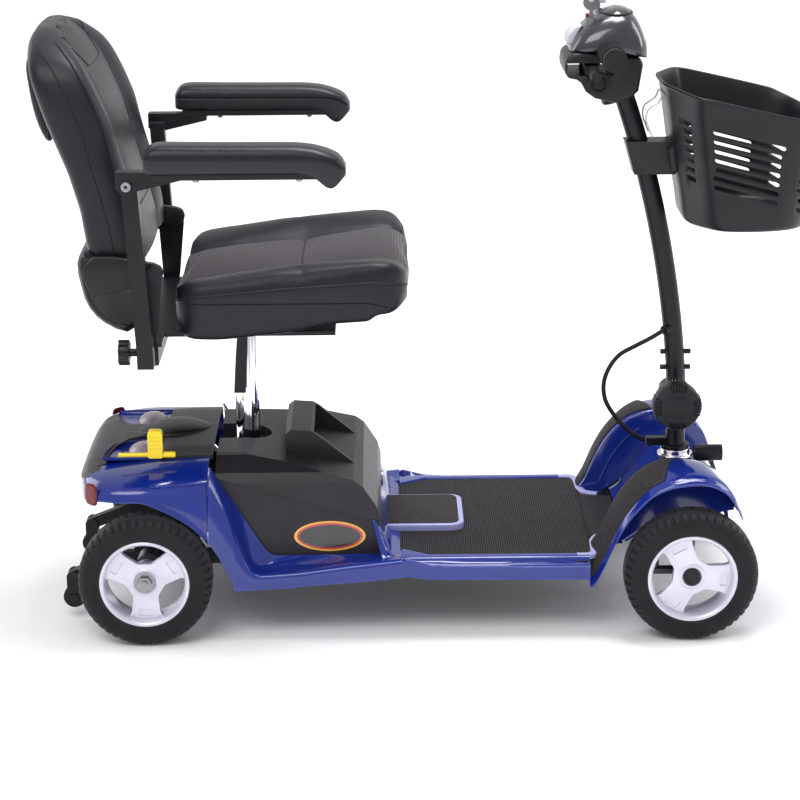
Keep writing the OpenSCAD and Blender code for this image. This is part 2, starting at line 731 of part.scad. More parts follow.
module arm_bracket() color([0.1, 0.1, 0.11]) difference() {
    union() {
        side(236.3, 258) {
            translate([flip_x, flip_z]) circle(r = 13);
            polygon([[-424, 700], [-424, 724], [-330, 724], [-330, 712], [-398, 696]]);
        }
        block(-370, -130, 244, 290, 718, 726);
    }
    ycyl(flip_x, flip_z, 230, 262.3, 5 + running);
}

module arm_bracket_right() mirror([0, 1, 0]) arm_bracket();

module arm_bracket_left() arm_bracket();

module arm_pad() color([0.09, 0.09, 0.09]) side(pad_y - 31, pad_y + 31) polygon([[-372, 726],
    [-380, 734], [-380, 758], [-370, 769], [-150, 766], [-112, 752], [-100, 738], [-100, 720],
    [-112, 706], [-129.7, 704], [-129.7, 726]]);

module arm_pad_right() mirror([0, 1, 0]) arm_pad();

module arm_pad_left() arm_pad();

// Star knobs that clamp the armrest width
module arm_knobs() color([0.07, 0.07, 0.07]) both() {
    xcyl(180, 441, -422, -410, 6);
    difference() {
        xcyl(180, 441, -438, -422, 19);
        for (a = [0:60:300]) translate([0, 180 + 21 * cos(a), 441 + 21 * sin(a)])
            xcyl(0, 0, -440, -420, 6);
    }
}

shown() front_frame();
shown() rear_frame();
shown() headset();
shown() front_shroud();
shown() fender_pads();
shown() deck_shell();
shown() floor_mat();
shown() rear_shroud();
shown() rear_deck_cover();
shown() battery_box();
shown() battery_lid();
shown() battery_cells();
shown() charger_port();
shown() drive_motor();
shown() transaxle();
shown() rear_reflectors();
shown() anti_tip_frame();
shown() anti_tip_rollers();
shown() freewheel_lever();
shown() axle_right();
shown() axle_left();
shown() tyre_rear_right();
shown() tyre_rear_left();
shown() rim_rear_right();
shown() rim_rear_left();
shown() tyre_front_right();
shown() tyre_front_left();
shown() rim_front_right();
shown() rim_front_left();
shown() steering_stem();
shown() knuckle_right();
shown() knuckle_left();
shown() tie_rod_right();
shown() tie_rod_left();
shown() tiller_tube();
shown() tiller_head();
shown() console_cover();
shown() grips();
shown() throttle_lever();
shown() speed_dial();
shown() key();
shown() horn_button();
shown() tilt_knob();
shown() control_cable();
shown() basket_bracket();
shown() basket();
shown() seat_post();
shown() seat_base();
shown() seat_cushion();
shown() seat_lever();
shown() backrest_shell();
shown() backrest_cushion();
shown() arm_post_right();
shown() arm_post_left();
shown() arm_bracket_right();
shown() arm_bracket_left();
shown() arm_pad_right();
shown() arm_pad_left();
shown() arm_knobs();
shown() headlamp();
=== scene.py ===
from math import copysign, cos, exp, hypot, pi, radians, sin

import bmesh
import bpy
from mathutils import Matrix, Vector, noise
from mathutils.bvhtree import BVHTree


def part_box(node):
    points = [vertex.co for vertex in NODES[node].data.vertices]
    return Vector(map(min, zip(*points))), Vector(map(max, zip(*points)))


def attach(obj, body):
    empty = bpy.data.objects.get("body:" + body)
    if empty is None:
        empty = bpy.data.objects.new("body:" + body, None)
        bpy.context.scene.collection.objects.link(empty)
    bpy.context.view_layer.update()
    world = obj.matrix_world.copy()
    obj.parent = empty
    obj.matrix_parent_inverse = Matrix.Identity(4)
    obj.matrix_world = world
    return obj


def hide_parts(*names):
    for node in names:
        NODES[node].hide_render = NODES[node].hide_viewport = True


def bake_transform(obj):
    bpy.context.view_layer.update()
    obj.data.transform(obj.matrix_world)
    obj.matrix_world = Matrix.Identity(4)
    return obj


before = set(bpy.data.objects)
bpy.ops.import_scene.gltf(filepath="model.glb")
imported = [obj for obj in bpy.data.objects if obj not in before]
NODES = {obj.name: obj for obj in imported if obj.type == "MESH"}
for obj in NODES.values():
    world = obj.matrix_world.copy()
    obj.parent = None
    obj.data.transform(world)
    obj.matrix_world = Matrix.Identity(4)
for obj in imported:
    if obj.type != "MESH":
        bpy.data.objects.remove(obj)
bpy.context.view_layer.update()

# Shapes are in millimetres from the middle of the wheelbase, which the tyres give
back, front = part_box("tyre_rear_right"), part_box("tyre_front_right")
OX = (back[0].x + back[1].x + front[0].x + front[1].x) / 4
HUB_X = 1000 * (front[0].x + front[1].x - back[0].x - back[1].x) / 4


def P(p):
    return Vector((p[0] / 1000 + OX, p[1] / 1000, p[2] / 1000))


# ---------- camera ----------
cam_data = bpy.data.cameras.new("camera")
cam = bpy.data.objects.new("camera", cam_data)
bpy.context.collection.objects.link(cam)
cam_data.sensor_width, cam_data.lens = 36.0, 103.4
cam_data.clip_end = 100
place = Matrix((Vector((0.99991727, -0.0107961, -0.0069924)), Vector((0.00979818, 0.28711567, 0.95784581)),
                Vector((-0.00833338, -0.95783508, 0.2871977)))).transposed().to_4x4()
place.translation = P((-53.9, -3438.2, 1341))
cam.matrix_world = place
bpy.context.scene.camera = cam


# ---------- mesh helpers ----------
class Shape:
    """Vertices in millimetres and faces, gathered from several solids."""

    def __init__(self):
        self.v, self.f, self.m = [], [], []

    def add(self, vf, mat=0):
        k = len(self.v)
        self.v += [tuple(p) for p in vf[0]]
        self.f += [[i + k for i in q] for q in vf[1]]
        self.m += [mat] * len(vf[1])
        return self

    def both(self):
        k = len(self.v)
        self.v += [(x, -y, z) for x, y, z in self.v]
        self.f += [[i + k for i in reversed(q)] for q in self.f]
        self.m += self.m
        return self


def turns(n, ends=0):
    """Angles of n equal steps round a circle, and of as many more as ends says."""
    return [2 * pi * k / n for k in range(n + ends)]


def smooth(pts, n):
    """Points on a smooth curve through pts, n to a stretch."""
    out = []
    for i in range(len(pts) - 1):
        a, b, c, d = (pts[max(i - 1, 0)], pts[i], pts[i + 1], pts[min(i + 2, len(pts) - 1)])
        for k in range(n):
            t = k / n
            out.append(tuple(0.5 * (2 * q + (r - p) * t + (2 * p - 5 * q + 4 * r - s) * t * t
                                    + (3 * q - p - 3 * r + s) * t ** 3) for p, q, r, s in zip(a, b, c, d)))
    return out + [tuple(pts[-1])]


def at(table, x):
    """Value at x, between the rows of a table sorted by x."""
    if x <= table[0][0]:
        return table[0][1]
    for (a, p), (b, q) in zip(table, table[1:]):
        if x <= b:
            t = (x - a) / (b - a)
            return p + (q - p) * t
    return table[-1][1]


def eased(table, x, w=12):
    return sum(at(table, x + w * k) for k in (-2, -1, 0, 1, 2)) / 5


def loft(rings, closed=True, caps=True):
    n = len(rings[0])
    v = [p for r in rings for p in r]
    f = []
    for i in range(len(rings) - 1):
        for j in range(n if closed else n - 1):
            k = (j + 1) % n
            f.append([i * n + j, i * n + k, (i + 1) * n + k, (i + 1) * n + j])
    if closed and caps:
        f.append(list(range(n))[::-1])
        f.append([(len(rings) - 1) * n + j for j in range(n)])
    return v, f


def prism(outline, y0, y1):
    return loft([[(x, y, z) for x, z in outline] for y in (y0, y1)])


def slab(outline, z0, z1):
    return loft([[(x, y, z) for x, y in outline] for z in (z0, z1)])


def block(x0, x1, y0, y1, z0, z1):
    return slab([(x0, y0), (x1, y0), (x1, y1), (x0, y1)], z0, z1)


def lathe(profile, centre, axis, n=48, wave=None):
    """profile: (along, radius), a solid if both ends have radius 0, else a band."""
    cx, cy, cz = centre
    rings = []
    for k in range(n):
        a = 2 * pi * k / n
        row = []
        for i, (h, r) in enumerate(profile):
            if wave:
                h, r = wave(i, h, r, k)
            c, s = r * cos(a), r * sin(a)
            row.append({"x": (cx + h, cy + c, cz + s), "y": (cx + c, cy + h, cz + s),
                        "z": (cx + c, cy + s, cz + h)}[axis])
        rings.append(row)
    m = len(profile)
    v = [p for r in rings for p in r]
    f = []
    for k in range(n):
        l = (k + 1) % n
        for i in range(m - 1):
            f.append([k * m + i, l * m + i, l * m + i + 1, k * m + i + 1])
    return v, f


def tube(pts, r, n=10, radii=None):
    rings, u = [], None
    for i, p in enumerate(pts):
        d = (Vector(pts[min(i + 1, len(pts) - 1)]) - Vector(pts[max(i - 1, 0)])).normalized()
        if u is None:
            u = d.cross(Vector((0, 1, 0)) if abs(d.y) < 0.9 else Vector((1, 0, 0))).normalized()
        u = (u - d * u.dot(d)).normalized()
        w = d.cross(u)
        q = radii[i] if radii else r
        rings.append([tuple(Vector(p) + q * (cos(a) * u + sin(a) * w))
                      for a in turns(n)])
    return loft(rings)


def edges(ob, width, segs, angle):
    """Rounds the edges sharper than an angle; width in millimetres."""
    m = ob.modifiers.new("edge", "BEVEL")
    m.width, m.segments, m.limit_method, m.angle_limit = width / 1000, segs, "ANGLE", radians(angle)
    return m


def bake(ob):
    """Applies the object's modifiers to its mesh."""
    dg = bpy.context.evaluated_depsgraph_get()
    dg.update()
    new = bpy.data.meshes.new_from_object(ob.evaluated_get(dg), depsgraph=dg)
    ob.modifiers.clear()
    old, ob.data = ob.data, new
    bpy.data.meshes.remove(old)
    return ob


def shade(ob, angle=35):
    for p in ob.data.polygons:
        p.use_smooth = True
    ob.data.set_sharp_from_angle(angle=radians(angle))


def make(name, shape, mats, body, nodes=(), bevel=0, segs=2, sub=0, angle=30, thick=0, sharp=35,
         weld=0.00002):
    if not isinstance(shape, Shape):
        shape = Shape().add(shape)
    mats = mats if isinstance(mats, (list, tuple)) else [mats]
    me = bpy.data.meshes.new(name)
    me.from_pydata([P(p) for p in shape.v], [], shape.f)
    for m in mats:
        me.materials.append(m)
    me.polygons.foreach_set("material_index", shape.m)
    bm = bmesh.new()
    bm.from_mesh(me)
    bmesh.ops.remove_doubles(bm, verts=bm.verts, dist=weld)
    bmesh.ops.recalc_face_normals(bm, faces=bm.faces)
    bm.to_mesh(me)
    bm.free()
    ob = bpy.data.objects.new(name, me)
    bpy.context.collection.objects.link(ob)
    if thick:
        m = ob.modifiers.new("wall", "SOLIDIFY")
        m.thickness, m.offset = thick / 1000, -1
    if bevel:
        edges(ob, bevel, segs, angle).use_clamp_overlap = True
    if sub:
        m = ob.modifiers.new("round", "SUBSURF")
        m.levels = m.render_levels = sub
    if ob.modifiers:
        bake(ob)
    shade(ob, sharp)
    if body:
        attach(ob, body)
    if nodes:
        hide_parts(*nodes)
    return ob


def cut(ob, shape, mode="DIFFERENCE"):
    tool = make("tool", shape, [], None)
    m = ob.modifiers.new("cut", "BOOLEAN")
    m.operation, m.object, m.solver, m.use_self = mode, tool, "EXACT", True
    bake(ob)
    bpy.data.objects.remove(tool)
    shade(ob)
    return ob


# ---------- materials ----------
def material(name, col, rough=0.5, metal=0.0, var=0.12, scale=25, bump=0.0, grain=900, kind="noise", coat=0.0,
             sheen=0.0, edge_highlight=0.0, spread=0.08, dist=0.0003, spec=0.5):
    m = bpy.data.materials.new(name)
    m.use_nodes = True
    nt = m.node_tree
    b = nt.nodes["Principled BSDF"]
    new, link = nt.nodes.new, nt.links.new
    tc = new("ShaderNodeTexCoord")
    big = new("ShaderNodeTexNoise")
    big.inputs["Scale"].default_value = scale
    big.inputs["Detail"].default_value = 6
    link(tc.outputs["Object"], big.inputs["Vector"])
    ramp = new("ShaderNodeValToRGB")
    lo = [c * (1 - var) for c in col]
    hi = [min(1, c * (1 + var)) for c in col]
    ramp.color_ramp.elements[0].color = (*lo, 1)
    ramp.color_ramp.elements[1].color = (*hi, 1)
    ramp.color_ramp.elements[0].position, ramp.color_ramp.elements[1].position = 0.3, 0.7
    link(big.outputs["Fac"], ramp.inputs["Fac"])
    colour = ramp.outputs["Color"]
    # Painted highlight: convex edges, found by pointiness, get a lighter copy of the colour, standing in for
    # the light that edges catch.
    if edge_highlight:
        geo = new("ShaderNodeNewGeometry")
        edge = new("ShaderNodeMapRange")
        edge.inputs["From Min"].default_value, edge.inputs["From Max"].default_value = 0.52, 0.62
        edge.inputs["To Max"].default_value = edge_highlight
        link(geo.outputs["Pointiness"], edge.inputs["Value"])
        mix = new("ShaderNodeMix")
        mix.data_type = "RGBA"
        link(edge.outputs["Result"], mix.inputs["Factor"])
        link(colour, mix.inputs["A"])
        mix.inputs["B"].default_value = (*[min(1, c * 2.2 + 0.05) for c in col], 1)
        colour = mix.outputs["Result"]
    link(colour, b.inputs["Base Color"])
    fine = new("ShaderNodeTexNoise")
    fine.inputs["Scale"].default_value = scale * 6
    fine.inputs["Detail"].default_value = 3
    link(tc.outputs["Object"], fine.inputs["Vector"])
    rr = new("ShaderNodeMapRange")
    rr.inputs["To Min"].default_value = max(0.02, rough - spread)
    rr.inputs["To Max"].default_value = min(1, rough + spread)
    link(fine.outputs["Fac"], rr.inputs["Value"])
    link(rr.outputs["Result"], b.inputs["Roughness"])
    b.inputs["Metallic"].default_value = metal
    b.inputs["Specular IOR Level"].default_value = spec
    b.inputs["Coat Weight"].default_value = coat
    b.inputs["Coat Roughness"].default_value = 0.04
    b.inputs["Sheen Weight"].default_value = sheen
    b.inputs["Sheen Roughness"].default_value = 0.5
    if bump:
        bn = new("ShaderNodeBump")
        bn.inputs["Strength"].default_value = bump
        bn.inputs["Distance"].default_value = dist
        if kind == "noise":
            t = new("ShaderNodeTexNoise")
            t.inputs["Scale"].default_value, t.inputs["Detail"].default_value = grain, 2
            out = t.outputs["Fac"]
            link(tc.outputs["Object"], t.inputs["Vector"])
        elif kind in ("leather", "pebble"):
            t = new("ShaderNodeTexVoronoi")
            t.feature = "SMOOTH_F1" if kind == "pebble" else "DISTANCE_TO_EDGE"
            t.inputs["Scale"].default_value = grain
            link(tc.outputs["Object"], t.inputs["Vector"])
            out = t.outputs["Distance"]
            if kind == "leather":
                cap = new("ShaderNodeMapRange")
                cap.inputs["From Max"].default_value = 0.25
                link(out, cap.inputs["Value"])
                out = cap.outputs["Result"]
        else:
            t = new("ShaderNodeTexWave")
            t.wave_type, t.bands_direction, t.wave_profile = "BANDS", kind, "SIN"
            t.inputs["Scale"].default_value = grain
            t.inputs["Distortion"].default_value = 0.4
            t.inputs["Detail Scale"].default_value = 3
            link(tc.outputs["Object"], t.inputs["Vector"])
            out = t.outputs["Fac"]
        link(out, bn.inputs["Height"])
        link(bn.outputs["Normal"], b.inputs["Normal"])
    return m


# Materials that lighten their convex edges get a painted edge highlight.
M = {
    "blue": material("blue_gloss", (0.004, 0.018, 0.2), 0.16, var=0.1, scale=12, bump=0.05, grain=350,
                     coat=0.55, edge_highlight=0.25, dist=0.0002, spec=0.35),
    "frame": material("powder_coat_black", (0.006, 0.0055, 0.008), 0.38, bump=0.3, grain=1400, edge_highlight=0.2,
                      var=0.25, spec=0.28),
    "chrome": material("chrome", (0.82, 0.81, 0.86), 0.07, 1.0, var=0.05, spread=0.03, bump=0.04, grain=500),
    "steel": material("zinc_steel", (0.27, 0.27, 0.29), 0.3, 1.0, var=0.2, scale=60, bump=0.15, grain=900),
    "grey": material("grained_grey_plastic", (0.017, 0.0145, 0.018), 0.4, bump=0.4, grain=1500, kind="pebble",
                     edge_highlight=0.12, var=0.15, spec=0.3),
    "black": material("black_plastic", (0.0075, 0.0065, 0.009), 0.38, bump=0.25, grain=1300, kind="pebble",
                      edge_highlight=0.15, var=0.2, spec=0.28),
    "mat": material("ribbed_rubber_mat", (0.011, 0.01, 0.0115), 0.55, bump=0.3, grain=1100, var=0.35,
                    scale=45, edge_highlight=0.5, spec=0.2),
    "pad": material("pebbled_rubber", (0.026, 0.023, 0.026), 0.68, bump=0.9, grain=420, kind="pebble",
                    var=0.35, scale=160, dist=0.0006, spec=0.2),
    "tyre": material("tyre_rubber", (0.0065, 0.006, 0.008), 0.6, bump=0.4, grain=700, var=0.35, scale=40,
                     edge_highlight=0.4, sheen=0.08, spec=0.22),
    "rim": material("silver_lacquer", (0.62, 0.6, 0.7), 0.32, 0.35, var=0.06, bump=0.12, grain=1300,
                    coat=0.4),
    "cast": material("cast_metal", (0.16, 0.16, 0.17), 0.45, 0.9, bump=0.5, grain=600, var=0.25),
    "red": material("red_lens", (0.12, 0.004, 0.008), 0.12, bump=0.8, grain=330, kind="pebble", coat=0.25,
                    dist=0.0006, spec=0.3),
    "yellow": material("yellow_plastic", (0.85, 0.63, 0.01), 0.35, bump=0.15, grain=900, var=0.07, edge_highlight=0.1),
    "console": material("console_gloss_grey", (0.016, 0.014, 0.02), 0.24, bump=0.08, grain=700, coat=0.6,
                        var=0.1),
    "grip": material("grip_rubber", (0.0085, 0.0075, 0.0095), 0.58, bump=0.6, grain=800, kind="pebble",
                     var=0.3, spec=0.25),
    "light": material("light_plastic", (0.5, 0.49, 0.55), 0.35, bump=0.1, grain=900, var=0.06),
    "vinyl": material("seat_vinyl", (0.0095, 0.008, 0.0115), 0.34, bump=0.35, grain=620, kind="leather",
                      var=0.15, scale=18, sheen=0.0, dist=0.00025, spec=0.26),
    "rib": material("ribbed_cloth", (0.024, 0.019, 0.025), 0.6, bump=0.9, grain=70, kind="X", var=0.14,
                    scale=300, sheen=0.15, dist=0.0009, spec=0.2),
    "thread": material("thread", (0.006, 0.005, 0.007), 0.7, bump=0.8, grain=900, kind="X", sheen=0.1,
                       spec=0.1),
    "armpad": material("pad_vinyl", (0.0085, 0.007, 0.0105), 0.3, bump=0.3, grain=700, kind="leather",
                       var=0.15, sheen=0.0, dist=0.0002, spec=0.26),
    "armbase": material("pad_base", (0.017, 0.015, 0.019), 0.42, bump=0.4, grain=1300, kind="pebble",
                        var=0.12, spec=0.3),
    # Painted reflection: pale lavender standing in for white light reflected by the glossy blue plastic at
    # grazing angles.
    "lilac": material("pale_trim", (0.33, 0.33, 0.62), 0.3, bump=0.08, grain=600, var=0.08, coat=0.5),
    "badge": material("badge_ring", (0.85, 0.42, 0.03), 0.3, var=0.25, scale=14, coat=0.8, bump=0.05,
                      grain=500),
    "badge2": material("badge_inner_ring", (0.5, 0.03, 0.03), 0.3, var=0.2, scale=20, coat=0.8, bump=0.05,
                       grain=500),
    "ink": material("badge_field", (0.008, 0.007, 0.008), 0.25, var=0.2, coat=0.8, bump=0.05, grain=500),
    "oval": material("oval_boss", (0.28, 0.22, 0.26), 0.35, var=0.2, scale=60, coat=0.4, bump=0.1, grain=500),
    "floor": material("floor", (0.93, 0.93, 0.935), 0.75, var=0.005, scale=2, bump=0.02, grain=300),
    "thin_wire": material("white_wire", (0.7, 0.7, 0.72), 0.35, 0.6, var=0.08, bump=0.1, grain=900),
}

# ---------- control cable ----------
ROUTE = [(383, -19, 424), (362, -28, 414), (338, -30, 402), (314, -30, 388), (298, -30, 366), (291, -30, 342),
         (294, -28, 316), (307, -24, 292), (324, -16, 270), (342, -6, 252), (359, 0, 241)]
line = smooth(ROUTE, 4)
cable = make("control_cable_skin", tube(line, 3.5, 12), M["grip"], None)
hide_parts("control_cable")
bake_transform(cable)

# ---------- light and floor ----------
world = bpy.data.worlds.new("studio")
bpy.context.scene.world = world
world.use_nodes = True
world.node_tree.nodes["Background"].inputs[0].default_value = (1, 1, 1, 1)
world.node_tree.nodes["Background"].inputs[1].default_value = 0.72
bpy.context.scene.view_settings.view_transform = "Standard"


def area(name, where, aim, size, power, color=(1, 1, 1)):
    d = bpy.data.lights.new(name, "AREA")
    d.shape, d.size, d.size_y, d.energy, d.color = "RECTANGLE", size[0], size[1], power, color
    o = bpy.data.objects.new(name, d)
    bpy.context.collection.objects.link(o)
    o.location = where
    o.rotation_euler = (Vector(aim) - Vector(where)).to_track_quat("-Z", "Y").to_euler()


area("key", (-1.2, -2.2, 3.2), (0, 0, 0.4), (2.2, 1.6), 60)
area("top", (0.4, 0.3, 3.4), (0, 0, 0.3), (1.6, 1.2), 90, (0.98, 0.97, 1))
area("rim_right", (2.6, 0.6, 1.8), (0.2, 0, 0.4), (1.0, 1.8), 28, (0.95, 0.94, 1))
area("fill", (-2.4, 1.6, 1.6), (-0.3, 0, 0.5), (1.2, 1.8), 18, (0.95, 0.93, 1))
floor = make("floor", slab([(-20000, -20000), (20000, -20000), (20000, 20000), (-20000, 20000)], -20, 0),
             M["floor"], None)
# Painted light: the floor glows with emission that grows away from the object, so the far floor looks white
# while the shadow near the object stays dark
nt = M["floor"].node_tree
tc, far, glow = [nt.nodes.new("ShaderNode" + kind) for kind in ("TexCoord", "VectorMath", "MapRange")]
far.operation = "LENGTH"
glow.inputs["From Min"].default_value, glow.inputs["From Max"].default_value = 0.7, 2.2
glow.inputs["To Max"].default_value = 0.42
glow.interpolation_type = "SMOOTHSTEP"
nt.links.new(tc.outputs["Object"], far.inputs[0])
nt.links.new(far.outputs["Value"], glow.inputs["Value"])
nt.links.new(glow.outputs["Result"], nt.nodes["Principled BSDF"].inputs["Emission Strength"])
nt.nodes["Principled BSDF"].inputs["Emission Color"].default_value = (1, 1, 1, 1)


# ---------- carried-over CAD nodes ----------
def keep(names, mat, bevel=0.8, segs=2, angle=30):
    for n in names.split():
        o = NODES[n]
        for s in o.material_slots:
            s.material = M[mat]
        w = o.modifiers.new("weld", "WELD")
        w.merge_threshold = 0.00001
        if bevel:
            edges(o, bevel, segs, angle).harden_normals = True


keep("front_frame rear_frame anti_tip_frame steering_stem tiller_tube basket_bracket seat_base", "frame", 1.0)
keep("arm_post_right arm_post_left arm_bracket_right arm_bracket_left", "frame", 1.2)
keep("headset seat_post", "chrome", 0.7)
keep("axle_right axle_left", "steel", 0.6)
keep("transaxle knuckle_right knuckle_left", "cast", 1.0)
keep("tie_rod_right tie_rod_left", "steel", 0.6)
keep("drive_motor anti_tip_rollers arm_knobs throttle_lever headlamp", "black", 1.2, 3)
keep("charger_port", "steel", 0.6)
keep("seat_lever", "black", 1.0)
keep("key", "cast", 0.4)
keep("horn_button", "red", 0.6)
keep("speed_dial", "light", 0.8)
keep("battery_cells", "grey", 1.0)
keep("battery_box", "grey", 3.0, 4)
keep("battery_lid", "grey", 2.5, 3)
keep("grips", "grip", 1.0)

# ---------- tyres ----------
TREAD = [(2, 67.2), (1.2, 71), (1.6, 74), (0.6, 76), (0, 78.5), (0, 84), (0.8, 88), (2.0, 91), (3.4, 93.2),
         (5.5, 95.8), (8.5, 97.9), (12.6, 99.4), (17, 100), (17.7, 99.2), (17.9, 96.6), (20, 96.6),
         (20.2, 99.3), (21, 100), (27.8, 100), (28.5, 99.3), (28.8, 96.6)]
TREAD = TREAD + [(60 - h, r) for h, r in reversed(TREAD)] + [(54, 66), (6, 66), (2, 67.2)]


def lugs(i, h, r, k):
    near, far = 8 <= i <= 11, len(TREAD) - 3 - 12 <= i <= len(TREAD) - 3 - 9
    if near and k % 6 < 2 or far and (k + 3) % 6 < 2:
        r -= 2.4 if 91.5 < r < 99.5 else 1.2
        h += 1.2 if near else -1.2
    if 17 <= i <= 19 and k % 12 < 1:
        r -= 2.0
    return h, r


for x, end in ((-HUB_X, "rear"), (HUB_X, "front")):
    for sgn, hand in ((-1, "right"), (1, "left")):
        shape = Shape().add(lathe([(sgn * (185 + h), r) for h, r in TREAD], (x, 0, 100), "y", 288,
                                  lambda i, h, r, k,
                                  s=sgn: (lambda q: (s * (185 + q[0]), q[1]))(lugs(i, abs(h) - 185, r, k))))
        make(f"tyre_{end}_{hand}_skin", shape, M["tyre"], f"wheel_{end}_{hand}", [f"tyre_{end}_{hand}"],
             sharp=40)

# ---------- front fenders ----------
FENDER = [(258, 100, 84), (266, 118, 92), (280, 140, 120), (297, 180, 160), (317, 212, 194), (345, 238, 225),
          (370, 248, 239), (392, 251, 244), (416, 250, 246), (438, 243, 243), (457, 230, 233),
          (471, 212, 216), (479, 194, 200), (484, 178, 190)]
LINE = smooth(FENDER, 5)
ZIN = [(p[0], p[1]) for p in LINE]
ZLIP = [(p[0], p[2]) for p in LINE]
LOW = [(262, 92), (300, 110), (345, 142), (380, 158), (440, 158), (470, 166), (484, 168)]


def crown(x, y):
    a, b = at(ZIN, x), at(ZLIP, x)
    m = (a + b) / 2
    return at([(124, a - 0.5), (130, a + 0.4), (150, a + 2), (168, m * 0.45 + a * 0.55 + 3), (185, m + 3.4),
               (196, 0.39 * m + 0.61 * b + 3.4), (205, b + 2.2), (210.5, b - 0.6), (213, b - 3)], y)


rings = []
for x, a, b in LINE:
    low = min(at(LOW, x), a - 9)
    rings.append([(x, y, z) for y, z in [(124, low), (124, a - 7), (124.6, a - 3), (126.5, a - 0.8)]
                  + [(y, crown(x, y)) for y in (130, 140, 150, 160, 170, 180, 190, 197, 204, 208, 211)]
                  + [(213, b - 3.2), (216.4, b - 3.9), (217.4, b - 5.2), (217.3, b - 8.6), (215.6, b - 9.4),
                     (213.4, b - 8.6),
                     (210, b - 5.2)]
                  + [(y, crown(x, y) - 4) for y in (203, 196, 185, 170, 155, 140, 133)]
                  + [(128.6, a - 6), (128, a - 9), (128, low)]])
fender = Shape().add(loft(rings))
# Nose between the fenders
nose = smooth([(318, 0, 124), (332, 0, 134), (345, 0, 151), (362, 0, 178), (380, 0, 196), (402, 0, 206),
               (430, 0, 207), (450, 0, 203), (466, 0, 192), (474, 0, 176), (478, 0, 152)], 4)
hood = []
for y in [k * 124 / 12 for k in range(-12, 13)]:
    drop = 5 * (y / 124) ** 2
    hood.append([(x, y, z - drop) for x, _, z in nose])
make("front_shroud_skin", fender.both(), M["blue"], "chassis", ["front_shroud"], sharp=38)
ob = make("nose_skin", loft(hood, closed=False), M["blue"], None, thick=3.2, sharp=50)
cut(ob, lathe([(-60, 0), (-60, 29), (60, 29), (60, 0)], (408, 0, 206), "z", 40))
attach(ob, "chassis")
# Ridges pressed into the inner wall of each fender
rib = Shape()
for pts in ([(300, 123.6, 128), (318, 123.6, 168), (340, 123.6, 200), (366, 123.6, 222)],
            [(352, 123.6, 152), (372, 123.6, 182), (392, 123.6, 208)]):
    rib.add(tube(smooth(pts, 5), 1.6, 8))
make("fender_ribs", rib.both(), M["blue"], "chassis")

pads = Shape()
tops = [(131, 0.6), (131.6, 2.8), (134, 4), (142, 4.4), (152, 4.5), (162, 4.5), (172, 4.5), (182, 4.5),
        (190, 4.4), (196, 4.2), (201, 3.9), (203.4, 2.8), (204, 0.6)]
for k in range(47):
    ring = []
    for y, up in tops + [(y, 0.25) for y, _ in reversed(tops)]:
        x = 261 + (386 - 0.27 * (y - 131) - 261) * k / 46
        ring.append((x, y, crown(x, y) + (up if 0 < k < 46 else min(up, 0.6 + up / 2))))
    rings = [ring] if k == 0 else rings + [ring]
pads.add(loft(rings))
make("fender_pads_skin", pads.both(), M["pad"], "chassis", ["fender_pads"], sharp=45)

# ---------- deck ----------
MATW = [(-58, 124), (-25, 152), (17, 179), (260, 179), (262, 176), (266, 100), (280, 92), (300, 88),
        (316, 86)]
RIDGE = [(-300, 92), (-275, 97), (-178, 104), (-103, 114), (-26, 122.5), (-18, 125), (16, 116), (60, 113.5),
         (212, 112), (258, 112)]
HEM = [(-300, 76), (-275, 78), (-202, 82), (-133, 88), (-78, 92), (-29, 97), (-16, 97), (16, 92), (256, 90)]
rings = []
x = -58.0
while x < 316:
    for dx, z in ((0, 118.1), (0.7, 119.2), (2.1, 119.2), (2.8, 118.1)):
        w = at(MATW, x + dx)
        rings.append([(x + dx, -w, 115.2), (x + dx, -w, z - 0.5), (x + dx, -w + 1.2, z), (x + dx, w - 1.2, z),
                      (x + dx, w, z - 0.5), (x + dx, w, 115.2)])
    x += 3.5
mat = Shape().add(loft(rings))
make("floor_mat_skin", mat, M["mat"], "chassis", ["floor_mat"], sharp=20)


def rounded(x0, x1, w, r, n=6):
    """Half-round plate outline: square behind, round corners of radius r in front."""
    pts = [(x0, -w), (x1 - r, -w)]
    for sy, a0 in ((-1, -90), (1, 0)):
        for k in range(n + 1):
            a = radians(a0 + 90 * k / n)
            pts.append((x1 - r + r * cos(a), sy * (w - r) + r * sin(a)))
    return pts + [(x1 - r, w), (x0, w)]


# The hatch frame's pale lavender colour is painted reflection on blue plastic.
make("hatch_frame", slab(rounded(-53, 74, 73, 20), 117, 129.5), M["lilac"], "chassis", bevel=2, segs=3)
make("hatch", slab(rounded(-50, 66, 67, 15), 126, 131), M["pad"], "chassis", bevel=1.2, segs=3)

rings = []
xs = [-24, -21, -18, -14, -8, 0, 8, 16, 22, *range(34, 256, 18), 256, 258]
for x in xs:
    w, r, h = at(MATW, min(x, 258)) + 0.8, at(RIDGE, x), at(HEM, x)
    e = max(w + 14, 195)
    rings.append([(x, w, 113), (x, w, 118.5), (x, w + 2.2, 120.6), (x, e - 3.5, 120.8), (x, e, 120),
                  (x, e + 2, 117.4),
                  (x, e + 4, min(115.6, r + 1)), (x, e + 8, min(r - 0.5, 114.5)), (x, 209, r - 0.4),
                  (x, 213, r), (x, 215, r - 1.6), (x, 215.3, r - 4),
                  (x, 215.3, h + 2), (x, 214.5, h), (x, 211.5, h), (x, 211, h + 3), (x, 210.5, r - 6),
                  (x, e + 6, min(r - 6, 110)),
                  (x, e - 2, 112)])
deck = Shape().add(loft(rings)).both()
